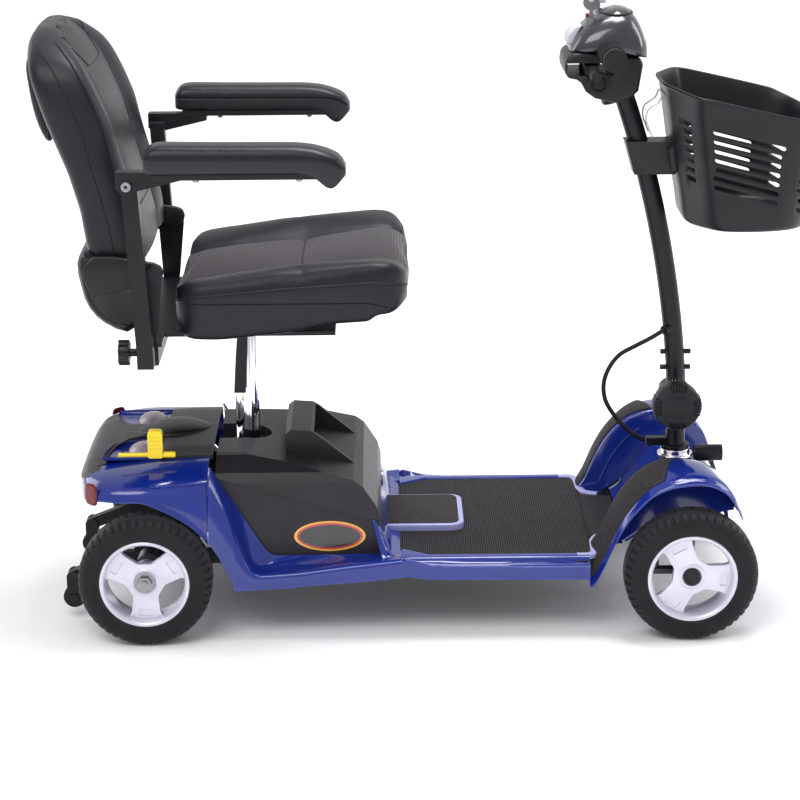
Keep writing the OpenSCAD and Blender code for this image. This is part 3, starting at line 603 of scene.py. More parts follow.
# L-shaped corner beside each fender, and the blue edge in front of the mat; its pale lavender colour is
# painted reflection of white light on the glossy blue plastic.
corner = smooth([(240, 186, 119), (254, 186, 119), (263, 182.5, 119), (267, 170, 119), (268.5, 150, 119),
                 (270, 122, 119), (278, 104, 119), (296, 96, 119)], 4)
band = []
for i, (x, y, z) in enumerate(corner):
    d = Vector(corner[min(i + 1, len(corner) - 1)]) - Vector(corner[max(i - 1, 0)])
    n = Vector((-d.y, d.x, 0)).normalized()
    band.append([tuple(Vector((x, y, 0)) + n * k + Vector((0, 0, q))) for k, q in
                 ((-6, 114), (-6, 119.6), (-4.4, 121.2), (4.4, 121.2), (6, 119.6), (6, 114))])
deck2 = Shape().add(loft(band)).both()
make("deck_shell_skin", deck, M["blue"], "chassis", ["deck_shell"], sharp=40)
make("deck_corner_trim", deck2, M["lilac"], "chassis", sharp=40)
under = Shape().add(slab([(-52, -180), (256, -200), (258, -120), (316, -118), (316, 118), (258, 120),
                          (256, 200), (-52, 180)], 111.2, 115))
make("deck_underside", under, M["black"], "chassis", bevel=1)

# ---------- rear body ----------
LIP = [(-514, 212), (-500, 214), (-480, 221), (-452, 221.5), (-430, 221.5), (-410, 221.8), (-388, 212),
       (-368, 202), (-348, 190), (-333, 178), (-321, 165), (-308, 148), (-296, 130), (-286, 110), (-277, 88),
       (-275, 80)]
SIDE = [(-514, 92), (-512, 118), (-507, 150), (-500, 174), (-490, 192), (-478, 203), (-460, 211), (-440, 215),
        (-270, 215)]
TOPZ = [(-514, 226), (-510, 240), (-504, 246), (-490, 251), (-470, 254), (-440, 257), (-388, 261),
        (-312, 265)]


def bulge(x, t):
    """A point on the blue rear body, from the deck cover (t = 0) to the lip (t = 1)."""
    yb, zb = at(SIDE, x), eased(LIP, x, 4)
    yt = min(121, yb - 12)
    zt = eased(TOPZ, x, 4) - 4
    a = t * pi / 2
    y = yt + (yb - yt) * sin(a) ** 0.92
    z = zt + (zb - zt) * (1 - cos(a) ** 0.8)
    return y, z


xs = [-514, -513, -511, -508, -504, -499, -493, -486, -478, *range(-468, -314, 7), -314]
rings = []
for x in xs:
    half = [bulge(x, k / 15) for k in range(16)]
    yb, zb = half[-1]
    half += [(yb + 0.8, zb - 1.5), (yb + 0.6, zb - 3)]
    rings.append([(x, -y, z) for y, z in reversed(half)] + [(x, y, z) for y, z in half])
DARK = [(-514, 229), (-505, 236), (-496, 243), (-478, 249.5), (-440, 253.5), (-400, 256.5), (-314, 263)]
body = Shape().add(loft(rings, closed=False))
first = len(rings[0])
body.m = [int(sum(body.v[i][2] for i in f) / 4 > at(DARK, body.v[f[0]][0])) for f in body.f]
body.f.append(list(range(first)))
body.m.append(0)
make("rear_shroud_skin", body, [M["blue"], M["grey"]], "chassis", ["rear_shroud"], thick=3, sharp=50)

# Side skirts from the wheel arch to the deck, below the battery box
SEAM = [(-316, 262), (-310, 252), (-304, 240), (-228, 119), (-216, 114.5), (-60, 114.5), (-50, 115),
        (-22, 119)]


def skirt(x):
    w = 1 / (1 + exp(-(x + 262) / 8))
    zt = eased(SEAM, x, 3)
    r, h = at(RIDGE, x), at(HEM, x)
    zb = eased(LIP, x, 3) if x < -277 else h
    a = []
    for k in range(17):
        t = k / 16 * pi / 2
        a.append((167 + 48.3 * sin(t) ** 0.9, zt + (zb - zt) * (1 - cos(t) ** 0.75)))
    b = []
    for k in range(10):
        t = k / 9
        sag = (zt + 4 - r if zt > r else 3) * 0.55
        b.append((167 + 43 * t, zt + (r - zt) * t - sag * sin(t * pi) * (0.4 + 0.6 * (1 - t))))
    b += [(213, r), (214.6, r - 1.4), (215.2, r - 4), (215.3, r - 9), (215.3, (r + h) / 2), (215.3, h + 3),
          (215, h)]
    return [(p[0] * (1 - w) + q[0] * w, p[1] * (1 - w) + q[1] * w) for p, q in zip(a, b)]


xs = [-313, -309, -304, -298, -292, -287, -282, -278, -275.5, *range(-272, -216, 6), *range(-212, -30, 13),
      -30, -26, -24]
rings = [[(x, y, z) for y, z in skirt(x)] for x in xs]
make("side_skirts", Shape().add(loft(rings, closed=False)).both(), M["blue"], "chassis", thick=3, sharp=50)
# Bulkhead that rises in front of the battery
rings = []
for y, top in ((-196, 119), (-188, 124), (-178, 146), (-170, 172), (-160, 176), (-100, 168), (-90, 150),
               (90, 150), (100, 168), (160, 176), (170, 172),
               (178, 146), (188, 124), (196, 119)):
    lean = 0.25 * (top - 115)
    rings.append([(-54, y, 112), (-54 - lean, y, top - 1), (-53 - lean, y, top), (-50 - lean, y, top - 0.4),
                  (-45 - lean * 0.7, y, 113 + (top - 113) * 0.7), (-40, y, 122 if top > 122 else 116),
                  (-28, y, 119.4), (-24, y, 117), (-24, y, 112)])
wall = Shape().add(loft(rings))
make("battery_bulkhead", wall, M["blue"], "chassis", bevel=0.8, sharp=40)

# ---------- deck cover with its two recesses ----------
TOPC = [(-513, 226), (-511.5, 236), (-508, 243), (-500, 249), (-489, 254), (-470, 259), (-440, 264),
        (-400, 268), (-350, 270.5), (-309, 271)]
rings = []
for x in [-513, -512.4, -511.2, -509, -506, -501, -495, -488, *range(-480, -309, 9), -311, -309]:
    w = at([(-513, 92), (-511, 106), (-506, 118), (-498, 123.5), (-488, 124.6)], x)
    top = eased(TOPC, x, 3)
    ring = [(x, -w, top - 14), (x, -w, top - 7)]
    for k in range(13):
        y = -w + 2 * w * k / 12
        ring.append((x, y * 0.985, top - 7 + 9 * (1 - (y / w) ** 2) ** 0.35 * 0.78))
    ring += [(x, w, top - 7), (x, w, top - 14)]
    rings.append(ring)
cover = make("deck_cover_skin", loft(rings, closed=False), M["grey"], None, thick=3, sharp=45)
hollow = []
for z in (240, 300):
    o = [(-472, -130), (-470, -96), (-462, -62), (-446, -38), (-424, -30), (-396, -34), (-388, -48),
         (-388, -130)]
    hollow.append([(x, y, z) for x, y in o])
cut(cover, Shape().add(loft(hollow)).both())
edges(cover, 1.2, 2, 40)
bake(cover)
shade(cover, 40)
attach(cover, "chassis")
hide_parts("rear_deck_cover")
well = Shape()
rings = []
o = [(-476, -124), (-475, -94), (-466, -58), (-448, -34), (-424, -26), (-393, -30), (-384, -46), (-384, -124)]
cx, cy = -428, -78
for f, z in ((1.0, 260.5), (1.0, 257), (0.93, 254), (0.6, 252.5), (0.0, 252.5)):
    rings.append([(cx + (x - cx) * f, cy + (y - cy) * f, z) for x, y in o])
well.add(loft(rings, caps=False)).both()
make("deck_recesses", well, M["blue"], "chassis", sharp=50)
boss = Shape()
rings = []
for k in range(9):
    a = k / 8 * pi / 2
    rings.append([(-418 + 25 * cos(a) * cos(b), -78 + 34 * cos(a) * sin(b), 252.5 + 17 * sin(a))
                  for b in turns(28)])
boss.add(loft(rings)).both()
make("recess_bosses", boss, M["oval"], "chassis", sharp=50)
handle = []
for k in range(25):
    t = k / 24
    x = -436 + 118 * t
    w = 4 + 46 * sin(pi * t) ** 0.7
    up = 10 * sin(pi * t) ** 0.8
    base = eased(TOPC, x, 3) - 2
    handle.append([(x, -w, base), (x, -w * 0.96, base + 1.5 + up * 0.25), (x, -w * 0.7, base + 2 + up * 0.8),
                   (x, 0, base + 2 + up),
                   (x, w * 0.7, base + 2 + up * 0.8), (x, w * 0.96, base + 1.5 + up * 0.25), (x, w, base)])
make("deck_handle", loft(handle), M["black"], "chassis", sub=1, sharp=60)
make("blank_plate", slab(rounded(-384, -360, 17, 4), 268.5, 272.6), M["oval"], "chassis", bevel=0.8)
# Badge without lettering: three ovals, one on the other
badge = Shape()
for i, (rx, rz, proud) in enumerate(((54, 24, 1.0), (50, 21, 1.3), (46.5, 18, 1.6))):
    badge.add(loft([[(-133 + rx * cos(b), -165 - out, 146 + rz * sin(b)) for b in turns(56)]
                    for out in (-1, proud)]), i)
badge.both()
make("badge", badge, [M["badge"], M["badge2"], M["ink"]], "chassis", sharp=40)

# ---------- soft goods ----------
def puff(ob, pinned, pressure, cap, frames=20):
    """Cloth with pressure swells the cushion between its sewn lines; no point moves further than cap."""
    rest = [v.co.copy() for v in ob.data.vertices]
    g = ob.vertex_groups.new(name="sewn")
    for i in range(len(rest)):
        w = pinned(i)
        if w:
            g.add([i], w, "REPLACE")
    c = ob.modifiers.new("cloth", "CLOTH")
    s = c.settings
    s.effector_weights.gravity = 0
    s.use_pressure, s.uniform_pressure_force = True, pressure
    s.vertex_group_mass = "sewn"
    s.quality = 5
    s.tension_stiffness = s.compression_stiffness = 25
    s.shear_stiffness, s.bending_stiffness = 8, 2.5
    sc = bpy.context.scene
    for f in range(1, frames + 1):
        sc.frame_set(f)
    dg = bpy.context.evaluated_depsgraph_get()
    got = [v.co.copy() for v in ob.evaluated_get(dg).data.vertices]
    ob.modifiers.clear()
    sc.frame_set(1)
    for v, a, b in zip(ob.data.vertices, rest, got):
        d = b - a
        if d.length > cap:
            d *= cap / d.length
        v.co = a + d
    ob.vertex_groups.clear()


def cushion(name, rings, mats, body, nodes, pinned, paint, bulge_ends=(0, 0), axis=0, pressure=4, cap=0.007):
    """Closed cushion from rings; the ends are closed with rings that shrink to the middle."""
    n = len(rings[0])

    def shrunk(ring, out):
        c = [sum(p[k] for p in ring) / n for k in range(3)]
        more = []
        for f in (0.93, 0.8, 0.6, 0.4, 0.2):
            q = [[c[k] + (p[k] - c[k]) * f for k in range(3)] for p in ring]
            for p in q:
                p[axis] += out * (1 - f) ** 0.5
            more.append([tuple(p) for p in q])
        return more

    head, tail = shrunk(rings[0], bulge_ends[0]), shrunk(rings[-1], bulge_ends[1])
    allr = head[::-1] + rings + tail
    shape = Shape().add(loft(allr))
    rows = len(allr) - 1
    shape.m = [paint(i - len(head), j, len(rings)) for i in range(rows) for j in range(n)] + [0, 0]
    ob = make(name, shape, mats, None, sharp=180, weld=1e-7)
    puff(ob, lambda i: pinned(i // n - len(head), i % n), pressure, cap)
    m = ob.modifiers.new("round", "SUBSURF")
    m.levels = m.render_levels = 1
    pts = [v.co.copy() for v in ob.data.vertices]
    bake(ob)
    shade(ob, 180)
    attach(ob, body)
    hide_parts(*nodes)

    def row(j, i0=0, i1=None):
        return [tuple((pts[(len(head) + i) * n + j] - Vector((OX, 0, 0))) * 1000)
                for i in range(i0, i1 if i1 is not None else len(rings))]
    return ob, row


def cast(ob, pts, way, lift=0.0, reach=0.4):
    """Points laid on the object along a direction, lifted by a few tenths of a millimetre."""
    bm = bmesh.new()
    bm.from_mesh(ob.data)
    tree = BVHTree.FromBMesh(bm)
    bm.free()
    out = []
    for p in pts:
        hit = tree.ray_cast(P(p) - Vector(way) * 0.12, Vector(way), reach)
        if hit[0] is not None:
            q = hit[0] + hit[1] * lift / 1000
            out.append(((q.x - OX) * 1000, q.y * 1000, q.z * 1000))
    return out


def pipe(name, lines, r, mat, body, n=8):
    s = Shape()
    for l in lines:
        if len(l) > 2:
            s.add(tube(l, r, n))
    return make(name, s, M[mat], body, sharp=60)


CREST = [(-354, 530), (-348, 539), (-335, 545), (-270, 554), (-206, 564), (-130, 571), (-60, 576), (-38, 574),
         (-24, 567), (-14, 553)]
SEAT_SEAM = [(-354, 519), (-337, 527), (-282, 536), (-214, 542), (-170, 544), (-132, 551), (-56, 563),
             (-34, 561), (-22, 555), (-14, 545)]
SEAT_W = [(-354, 160), (-350, 174), (-340, 188), (-322, 196), (-300, 198), (-60, 198), (-42, 196), (-28, 189),
          (-18, 176), (-14, 164)]
UNDER = [(-354, 480), (-346, 469), (-330, 466.5), (-285, 466.5), (-185, 477), (-127, 489), (-60, 493),
         (-34, 496), (-20, 505), (-14, 516)]
xs = [-354, -352, -348, -342, -335, *range(-327, -174, 9), -174, -170.5, -167, *range(-159, -40, 9), -37, -30,
      -24, -19, -15.5, -14]
rings = []
for x in xs:
    w, zc, zs, zb = at(SEAT_W, x), eased(CREST, x, 3), eased(SEAT_SEAM, x, 3), eased(UNDER, x, 4)
    tuft = 5.0 if abs(x + 170.5) < 2 else (1.5 if abs(x + 170.5) < 5 else 0)
    half = [(y, zs + 5 * cos(y / 112 * pi / 2) - tuft * min(1, (112 - y) / 14 + 0.3))
            for y in (14, 28, 42, 56, 70, 84, 96, 104, 109)]
    half += [(112, zs - 3.5), (115, zs - 1)]
    for y in (122, 132, 144, 156, 168, 178):
        t = (y - 112) / 70
        half.append((112 + (w - 130) * (y - 112) / 66, zs + (zc - 1 - zs) * sin(min(1, t) * pi / 2) ** 0.9))
    half += [(w - 12, zc - 0.5), (w - 6, zc - 3), (w - 2, zc - 8), (w, zc - 15)]
    side_z = zc - 15
    low = zb - (9 if -345 < x < -60 else 0)
    mid = 516 if x < -70 else 516 - (x + 70) * 0.25
    mid = max(min(mid, side_z - 6), low + 14)
    for t in (0.3, 0.6, 0.85):
        half.append((w + 0.5, side_z + (mid - side_z) * t))
    half += [(w - 1.5, mid), (w - 2, mid - 3)]
    for t in (0.4, 0.75):
        half.append((w - 2 - 7 * t, mid - 3 + (low + 4 - mid) * t))
    half += [(w - 14, low + 1), (w - 22, low + 1), (w - 34, zb + 0.6), (w - 60, zb + 0.3), (80, zb + 0.3),
             (40, zb + 0.3)]
    rings.append([(x, 0, zs + 5 - tuft)] + [(x, y, z) for y, z in half] + [(x, 0, zb + 0.3)]
                 + [(x, -y, z) for y, z in reversed(half)])
H = len(half)
TUFT = [i for i, x in enumerate(xs) if abs(x + 170.5) < 2]


def mirror_index(j, n):
    return j if j <= H else n - j


def pin_seat(i, j):
    j = mirror_index(j, 2 * H + 2)
    if j == 10 or j >= 29 or i in TUFT and j < 10:
        return 1.0
    if j in (25, 26) or i < 0 and j > 24:
        return 0.9
    return 0.0


def paint_seat(i, j, count):
    a, b = mirror_index(j, 2 * H + 2), mirror_index((j + 1) % (2 * H + 2), 2 * H + 2)
    return 1 if max(a, b) <= 10 and 1 <= i < count - 2 else 0


seat, seat_row = cushion("seat_cushion_skin", rings, [M["vinyl"], M["rib"]], "seat", ["seat_cushion"],
                         pin_seat, paint_seat,
                         bulge_ends=(-1, 3), cap=0.006)
N2 = 2 * H + 2
lines = [seat_row(j) for j in (22, N2 - 22)]
pipe("seat_piping", lines, 1.9, "vinyl", "seat")
lines = [cast(seat, [(x, y, 600) for x in range(-345, -20, 6)], (0, 0, -1), 0.1) for y in (112, -112)]
lines += [cast(seat, [(-170.5, y, 600) for y in range(-108, 109, 6)], (0, 0, -1), 0.1)]
lines += [cast(seat, [(x, s * 260, 516 if x < -70 else 516 - (x + 70) * 0.25) for x in range(-336, -36, 6)],
               (0, -s, 0), 0.1) for s in (1, -1)]
pipe("seat_seams", lines, 0.9, "thread", "seat", 6)

# Backrest
FRONT = [(566, -396), (600, -397), (640, -404), (690, -416), (722, -425), (770, -435), (812, -452),
         (844, -467), (865, -481), (884, -501), (896, -512), (903, -522)]
REAR = [(566, -466), (590, -480), (650, -488), (705, -503), (783, -533), (840, -551), (868, -557),
        (888, -558), (897, -556), (903, -550)]
BACK_W = [(566, 178), (574, 184), (600, 186), (800, 186), (825, 184), (845, 179), (862, 169), (876, 153),
          (887, 134), (896, 108), (903, 78)]
zs = [566, 569, 575, 584, *range(593, 850, 9), 854, 861, 868, 875, 881, 887, 892, 896, 900, 903]
rings = []
for z in zs:
    xf, xr, w = eased(FRONT, z, 3), eased(REAR, z, 3), at(BACK_W, z)
    rec = at([(566, 5), (640, 11), (760, 13), (850, 11), (885, 5), (903, 1)], z)
    k = w / 186
    half = [(y * k, xf - rec + 3 * cos(y / 112 * pi / 2)) for y in (14, 28, 42, 56, 70, 84, 96, 104, 109)]
    half += [(112 * k, xf - rec - 2.5), (115 * k, xf - rec)]
    for y in (122, 132, 142, 152, 162):
        half.append((y * k, xf - rec + (rec - 1) * sin((y - 112) / 50 * pi / 2)))
    half += [(172 * k, xf - 1.5), (w - 7, xf - 4), (w - 2.5, xf - 9), (w, xf - 17)]
    for t in (0.3, 0.55, 0.8):
        half.append((w + 1, xf - 17 + (xr + 14 - xf + 17) * t))
    half += [(w - 1, xr + 14), (w - 6, xr + 6), (w - 15, xr + 1.5), (w - 32, xr), (w - 70, xr - 0.5),
             (50 * k, xr - 0.5)]
    rings.append([(xf - rec + 3, 0, z)] + [(x, y, z) for y, x in half] + [(xr - 0.5, 0, z)]
                 + [(x, -y, z) for y, x in reversed(half)])
H = len(half)
N3 = 2 * H + 2


def pin_back(i, j):
    j = mirror_index(j, N3)
    if j == 10 or i < 1 or j >= 26:
        return 1.0
    return 0.5 if j == 23 else 0.0


rest, rest_row = cushion("backrest_cushion_skin", rings, [M["vinyl"]], "backrest", ["backrest_cushion"],
                         pin_back, lambda i, j, c: 0,
                         bulge_ends=(-0.5, 2), axis=2, cap=0.006)
pipe("backrest_piping", [rest_row(j, 2, len(zs) - 3) for j in (19, N3 - 19)], 1.7, "vinyl", "backrest")
lines = [cast(rest, [(-300, s * 112 * at(BACK_W, z) / 186, z) for z in range(575, 898, 6)], (-1, 0, 0), 0.1)
         for s in (1, -1)]
head = [(-300, 98, 893), (-300, 92, 880), (-300, 70, 852), (-300, 62, 846), (-300, 0, 845), (-300, -62, 846),
        (-300, -70, 852), (-300, -92, 880), (-300, -98, 893)]
lines += [cast(rest, smooth(head, 8), (-1, 0, 0), 0.1)]
lines += [cast(rest, [(-300, y, 640) for y in range(-180, 181, 6)], (-1, 0, 0), 0.05)]
lines += [cast(rest, [(at(FRONT, z) - 42, s * 260, z) for z in range(590, 880, 6)], (0, -s, 0), 0.1)
          for s in (1, -1)]
pipe("backrest_seams", lines, 0.9, "thread", "backrest", 6)

# Lower shell and pouch of the backrest
low = [(-416, 476), (-424, 471.5), (-440, 476), (-456, 485), (-468, 495), (-478, 508), (-485, 524),
       (-489, 542), (-492.5, 560), (-493, 575), (-490, 586), (-483, 591), (-470, 591)]
rings = []
for y in [-193, -192.6, -191, -187, -178, -160, -120, -60, 0, 60, 120, 160, 178, 187, 191, 192.6, 193]:
    k = 1 - max(0, (abs(y) - 176) / 17) ** 2 * 0.16
    cx, cz = -448, 540
    outer = [(cx + (x - cx) * k - 2.5 * (1 - (y / 193) ** 2), y, cz + (z - cz) * k) for x, z in low]
    inner = [(x + 6 + (0 if z > 500 else -2), y, z + (3 if z < 560 else -5)) for x, _, z in reversed(outer)]
    rings.append(outer + inner)
make("backrest_shell_skin", loft(rings), M["black"], "backrest", bevel=1, sharp=40)
EARS = [(-380, 550), (-370, 555), (-366, 565), (-370, 575), (-380, 580), (-440, 590), (-466, 590),
        (-482, 575), (-484, 558), (-470, 530), (-430, 539)]
ears = Shape().add(prism(EARS, 192, 202)).both()
ob = make("backrest_ears", ears, M["black"], None, bevel=2.5, segs=3)
cut(ob, Shape().add(lathe([(185, 0), (185, 6.3), (215, 6.3), (215, 0)], (-380, 0, 565), "y", 32)).both())
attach(ob, "backrest")
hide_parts("backrest_shell")
pocket = []
for z, x, w, t in ((737, -539, 86, 2), (741, -543, 96, 12), (752, -550, 101, 22), (775, -558, 103, 25),
                   (800, -563, 104, 23), (825, -566, 104, 17),
                                  (845, -567, 104, 10), (858, -565, 103, 5), (863, -562, 102, 2)):
    ring = []
    for a in turns(32):
        c, s = cos(a), sin(a)
        y = w * copysign(abs(s) ** 0.35, s)
        fold = 0.6 * sin(y * 0.09 + z * 0.05)
        ring.append((x + t / 2 + copysign(abs(c) ** 0.6, c) * t / 2 + fold, y, z))
    pocket.append(ring)
pouch = make("pouch", loft(pocket), M["rib"], "backrest", sub=1, sharp=60)
pipe("pouch_hem", [[(-563 + 4.5, -102, 862), (-562, -80, 864), (-563, 0, 865), (-562, 80, 864),
                    (-563 + 4.5, 102, 862)]], 1.6, "thread", "backrest")

# Arm pads
PAD_TOP = [(-381, 748), (-380, 756), (-377, 761), (-371, 765.5), (-360, 768), (-300, 767), (-170, 766),
           (-145, 763), (-125, 757), (-110, 750), (-103, 743), (-100, 736), (-99, 730)]
PAD_SEAM = [(-381, 747), (-130, 745), (-112, 740), (-99, 729)]
PAD_LOW = [(-381, 731), (-376, 727.5), (-160, 727.5), (-140, 720), (-130, 709), (-122, 704.5), (-116, 705),
           (-99, 724)]
xs = [-381, -380.4, -379, -376.5, -372.5, -367, *range(-358, -150, 13), -150, -143, -136, -130, -124, -118,
      -112, -107, -103, -100.5, -99]
for sgn, hand in ((-1, "right"), (1, "left")):
    rings = []
    for x in xs:
        zt, zm, zb = eased(PAD_TOP, x, 1.5), eased(PAD_SEAM, x, 3), eased(PAD_LOW, x, 2)
        zm = min(zm, zt - 0.6)
        zb = min(zb, zm - 1)
        w = at([(-381, 22), (-379, 26.5), (-374, 29.5), (-366, 31), (-130, 31), (-112, 29), (-103, 25),
                (-99, 19)], x)
        sag = 1.2 * sin((x + 381) / 282 * pi)
        half = [(y / 31 * w, zm + (zt - zm - sag * 0.3) * (1 - (y / 31) ** 4) ** 0.42)
                for y in (6, 12, 17, 21, 24.5, 27, 29, 30.3)]
        half += [(w + 0.2, zm + 2.2), (w - 0.2, zm + 0.7), (w - 1.8, zm), (w - 0.5, zm - 0.8),
                 (w - 0.3, zm - 2), (w - 1.4, zb + 2.2), (w - 3, zb), (w - 15, zb)]
        rings.append([(x, sgn * 270, zt)] + [(x, sgn * 270 + y, z) for y, z in half] + [(x, sgn * 270, zb)]
                     + [(x, sgn * 270 - y, z) for y, z in reversed(half)])
    shape = Shape().add(loft(rings))
    n = len(rings[0])
    hh = len(half)
    for q in range((len(rings) - 1) * n):
        j = q % n
        j = j if j <= hh else n - 1 - j
        shape.m[q] = 1 if 11 <= j <= hh else 0
    ob = make(f"arm_pad_{hand}_skin", shape, [M["armpad"], M["armbase"]], f"arm_{hand}", [f"arm_pad_{hand}"],
              sub=1, sharp=60)
    bolts = Shape()
    for x in (-310, -165):
        bolts.add(lathe([(711.5, 0), (711.5, 3.4), (713, 4.6), (718.2, 4.8), (718.2, 0)], (x, sgn * 268, 0),
                        "z", 20))
    bolts.add(lathe([(sgn * 258, 0), (sgn * 261, 0), (sgn * 262.6, 4), (sgn * 262.2, 7), (sgn * 258, 8)],
                    (-409, 0, 704), "y", 24))
    make(f"arm_bolts_{hand}", bolts, M["steel"], f"arm_{hand}", sharp=40)

# ---------- basket ----------
RIM = [(360, 812), (372, 810.5), (430, 801), (560, 771), (600, 754), (620, 742)]


def outline(d, inset=0.0):
    """Plan of the basket, d from 0 at the rim to 1 at the floor."""
    xr, xf, w = 371 + 32 * d + inset, 620 - 28 * d - inset, 155 - 28 * d - inset
    half = [(xr, 0.0), (xr, -46), (xr + 8, -70), (xr + 36, -w + 8), (xr + 56, -w), (xf - 74, -w),
            (xf - 34, -w * 0.9), (xf - 12, -w * 0.66), (xf, -w * 0.36), (xf, 0.0)]
    pts = half + [(x, -y) for x, y in half[-2:0:-1]]
    for _ in range(2):
        pts = [q for a, b in zip(pts, pts[1:] + pts[:1]) for q in
               ((a[0] * 0.75 + b[0] * 0.25, a[1] * 0.75 + b[1] * 0.25),
                (a[0] * 0.25 + b[0] * 0.75, a[1] * 0.25 + b[1] * 0.75))]
    total = [0]
    for a, b in zip(pts, pts[1:] + pts[:1]):
        total.append(total[-1] + hypot(b[0] - a[0], b[1] - a[1]))
    out, n, k = [], 168, 0
    ring = pts + pts[:1]
    for i in range(n):
        s = total[-1] * i / n
        while total[k + 1] < s:
            k += 1
        t = (s - total[k]) / (total[k + 1] - total[k])
        out.append((ring[k][0] + (ring[k + 1][0] - ring[k][0]) * t, ring[k][1]
                    + (ring[k + 1][1] - ring[k][1]) * t))
    return out


OUT = {}


def plan_at(f, k):
    f = round(max(0.0, min(1.0, f)), 2)
    if f not in OUT:
        OUT[f] = outline(f)
    return OUT[f][k]


depths = [0, 2.5, 7, 18, 32, 42] + [v for i in range(7) for v in (46 + 14 * i, 51.5 + 14 * i)]
rows = []
for d in depths:
    row = []
    for k, (x, y) in enumerate(outline(0)):
        f = d / (at(RIM, x) - 598)
        px, py = plan_at(f, k)
        out = 1.5 if d < 3 else 0
        row.append((px + (px - 490) * out / 130, py + py * out / 150, at(RIM, x) - d))
    rows.append(row)
last = rows[-1]
for z, f, inset in ((0.5, 0.9, 0), (0.14, 0.97, 0.5), (0.04, 1.0, 3.5), (0.0, 1.0, 10), (0.0, 1.0, 40),
                    (0.0, 1.0, 90)):
    o = outline(f, inset)
    rows.append([(px, py, 598.2 + (q[2] - 598.2) * z) for (px, py), q in zip(o, last)])
shape = Shape()
n = len(last)
shape.v = [p for r in rows for p in r]
slots = {6 + 2 * i: i for i in range(7)}
for i in range(len(rows) - 1):
    for j in range(n):
        k = (j + 1) % n
        if i in slots:
            c = rows[i][j]
            m = ((rows[i][j][0] + rows[i][k][0]) / 2, (rows[i][j][1] + rows[i][k][1]) / 2)
            t = slots[i]
            wide = abs(m[1]) > 118
            if wide and 431 + t < m[0] < 536 - t or abs(m[1]) > 62 and 562 < m[0] < 600 - 2 * t:
                continue
            if m[0] < 430 and 78 < abs(m[1]) < 112 - 1.5 * t:
                continue
            if m[0] > 586 and (8 < abs(m[1]) < 48 - 2 * t) and t < 6:
                continue
        shape.f.append([i * n + j, i * n + k, (i + 1) * n + k, (i + 1) * n + j])
        shape.m.append(0)
shape.f.append([(len(rows) - 1) * n + j for j in range(n)])
shape.m.append(0)
make("basket_skin", shape, M["black"], "basket", ["basket"], thick=2.8, sub=1, sharp=45)
rim = [tuple(Vector(p) + Vector((0, 0, -1.6))) for p in rows[0]]
rim = rim + rim[:1]
make("basket_rim", tube(rim, 2.6, 8), M["black"], "basket", sharp=60)
wires = []
for y in (-24, 24):
    wires.append(smooth([(371, y, 790), (366, y, 778), (356, y, 771), (349, y, 764), (348, y, 750),
                         (353, y, 736), (357, y, 726)], 5))
wires.append(smooth([(371, -24, 790), (372, 0, 791), (371, 24, 790)], 4))
pipe("basket_bail", wires, 1.3, "thin_wire", "basket")

# ---------- tiller head ----------
lower = [(224, 822), (222, 836), (224, 848), (231, 856), (250, 858), (336, 848), (338, 838), (332, 800),
         (322, 790), (300, 782), (286, 785), (268, 789), (254, 799), (247, 812), (240, 817), (230, 819)]
head = make("tiller_head_skin", prism(lower, -58, 58), M["black"], None, bevel=7, segs=4, angle=40, sharp=50)
cut(head, block(226, 294, -72, 72, 823.5, 842))
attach(head, "tiller")
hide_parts("tiller_head")
caps = Shape()
for s in (1, -1):
    caps.add(lathe([(s * 56, 0), (s * 63, 17.5), (s * 64.5, 17), (s * 65.2, 15.5), (s * 65.2, 11.5),
                    (s * 63.4, 11), (s * 63.4, 9), (s * 66.5, 8.4), (s * 67.4, 6), (s * 67.8, 0)],
                   (272, 0, 813), "y", 40))
caps.add(lathe([(-161, 0), (-161, 10), (161, 10), (161, 0)], (286, 0, 860), "y", 32))
caps.add(lathe([(820, 0), (820, 5), (850, 5), (850, 0)], (262, 0, 0), "z", 24))
make("head_caps", caps, M["grip"], "tiller", sharp=40)
collar = Shape().add(lathe([(0, 16.2), (0, 20), (1.5, 21.5), (20, 21.5), (24, 20), (24, 16.2), (0, 16.2)],
                           (0, 0, 0), "z", 40))
lean = radians(20)
tipped = [(304.5 + x * cos(lean) - z * sin(lean), y, 778 + x * sin(lean) + z * cos(lean))
          for x, y, z in collar.v]
make("head_collar", (tipped, collar.f), M["black"], "tiller", sharp=40)

DOME = [(231, 859), (233, 866), (238, 877), (246, 889), (258, 900), (275, 911), (300, 919), (316, 917),
        (328, 908), (337, 893), (343, 877), (346, 866)]
DOME_W = [(231, 34), (234, 44), (240, 53), (252, 60), (270, 63.5), (300, 64), (320, 62), (334, 56), (342, 46),
          (346, 36)]


def dome(x, y):
    w, zt = at(DOME_W, x), eased(DOME, x, 2)
    zb = 858.6 - max(0, x - 300) * 0.24
    return zb + (zt - zb) * max(0, 1 - abs(y / w) ** 2.7) ** 0.42


rings = []
for x in [231, 231.8, 233, 235.5, 239, 244, 250, 257, 265, 274, 284, 294, 304, 313, 321, 328, 334, 339, 343,
          345, 346]:
    w = at(DOME_W, x)
    zb = 858.6 - max(0, x - 300) * 0.24
    ring = [(x, w * sin(a), dome(x, w * sin(a) * 0.9999)) for a in [pi / 2 * k / 10 for k in range(-10, 11)]]
    ring += [(x, w * 0.97, zb - 2), (x, 0, zb - 3), (x, -w * 0.97, zb - 2)]
    rings.append(ring)
make("console_skin", loft(rings), M["console"], "tiller", ["console_cover"], sub=1, sharp=60)
plate, ring = Shape(), Shape()
rr = []
for f, up in ((0.0, 1.0), (0.35, 1.0), (0.7, 0.9), (0.9, 0.7), (1.0, -0.6)):
    rr.append([(301 + 24 * f * cos(a), 40 * f * sin(a), dome(301 + 24 * f * cos(a), 40 * f * sin(a)) + up)
               for a in turns(40)])
plate.add(loft(rr, caps=False))
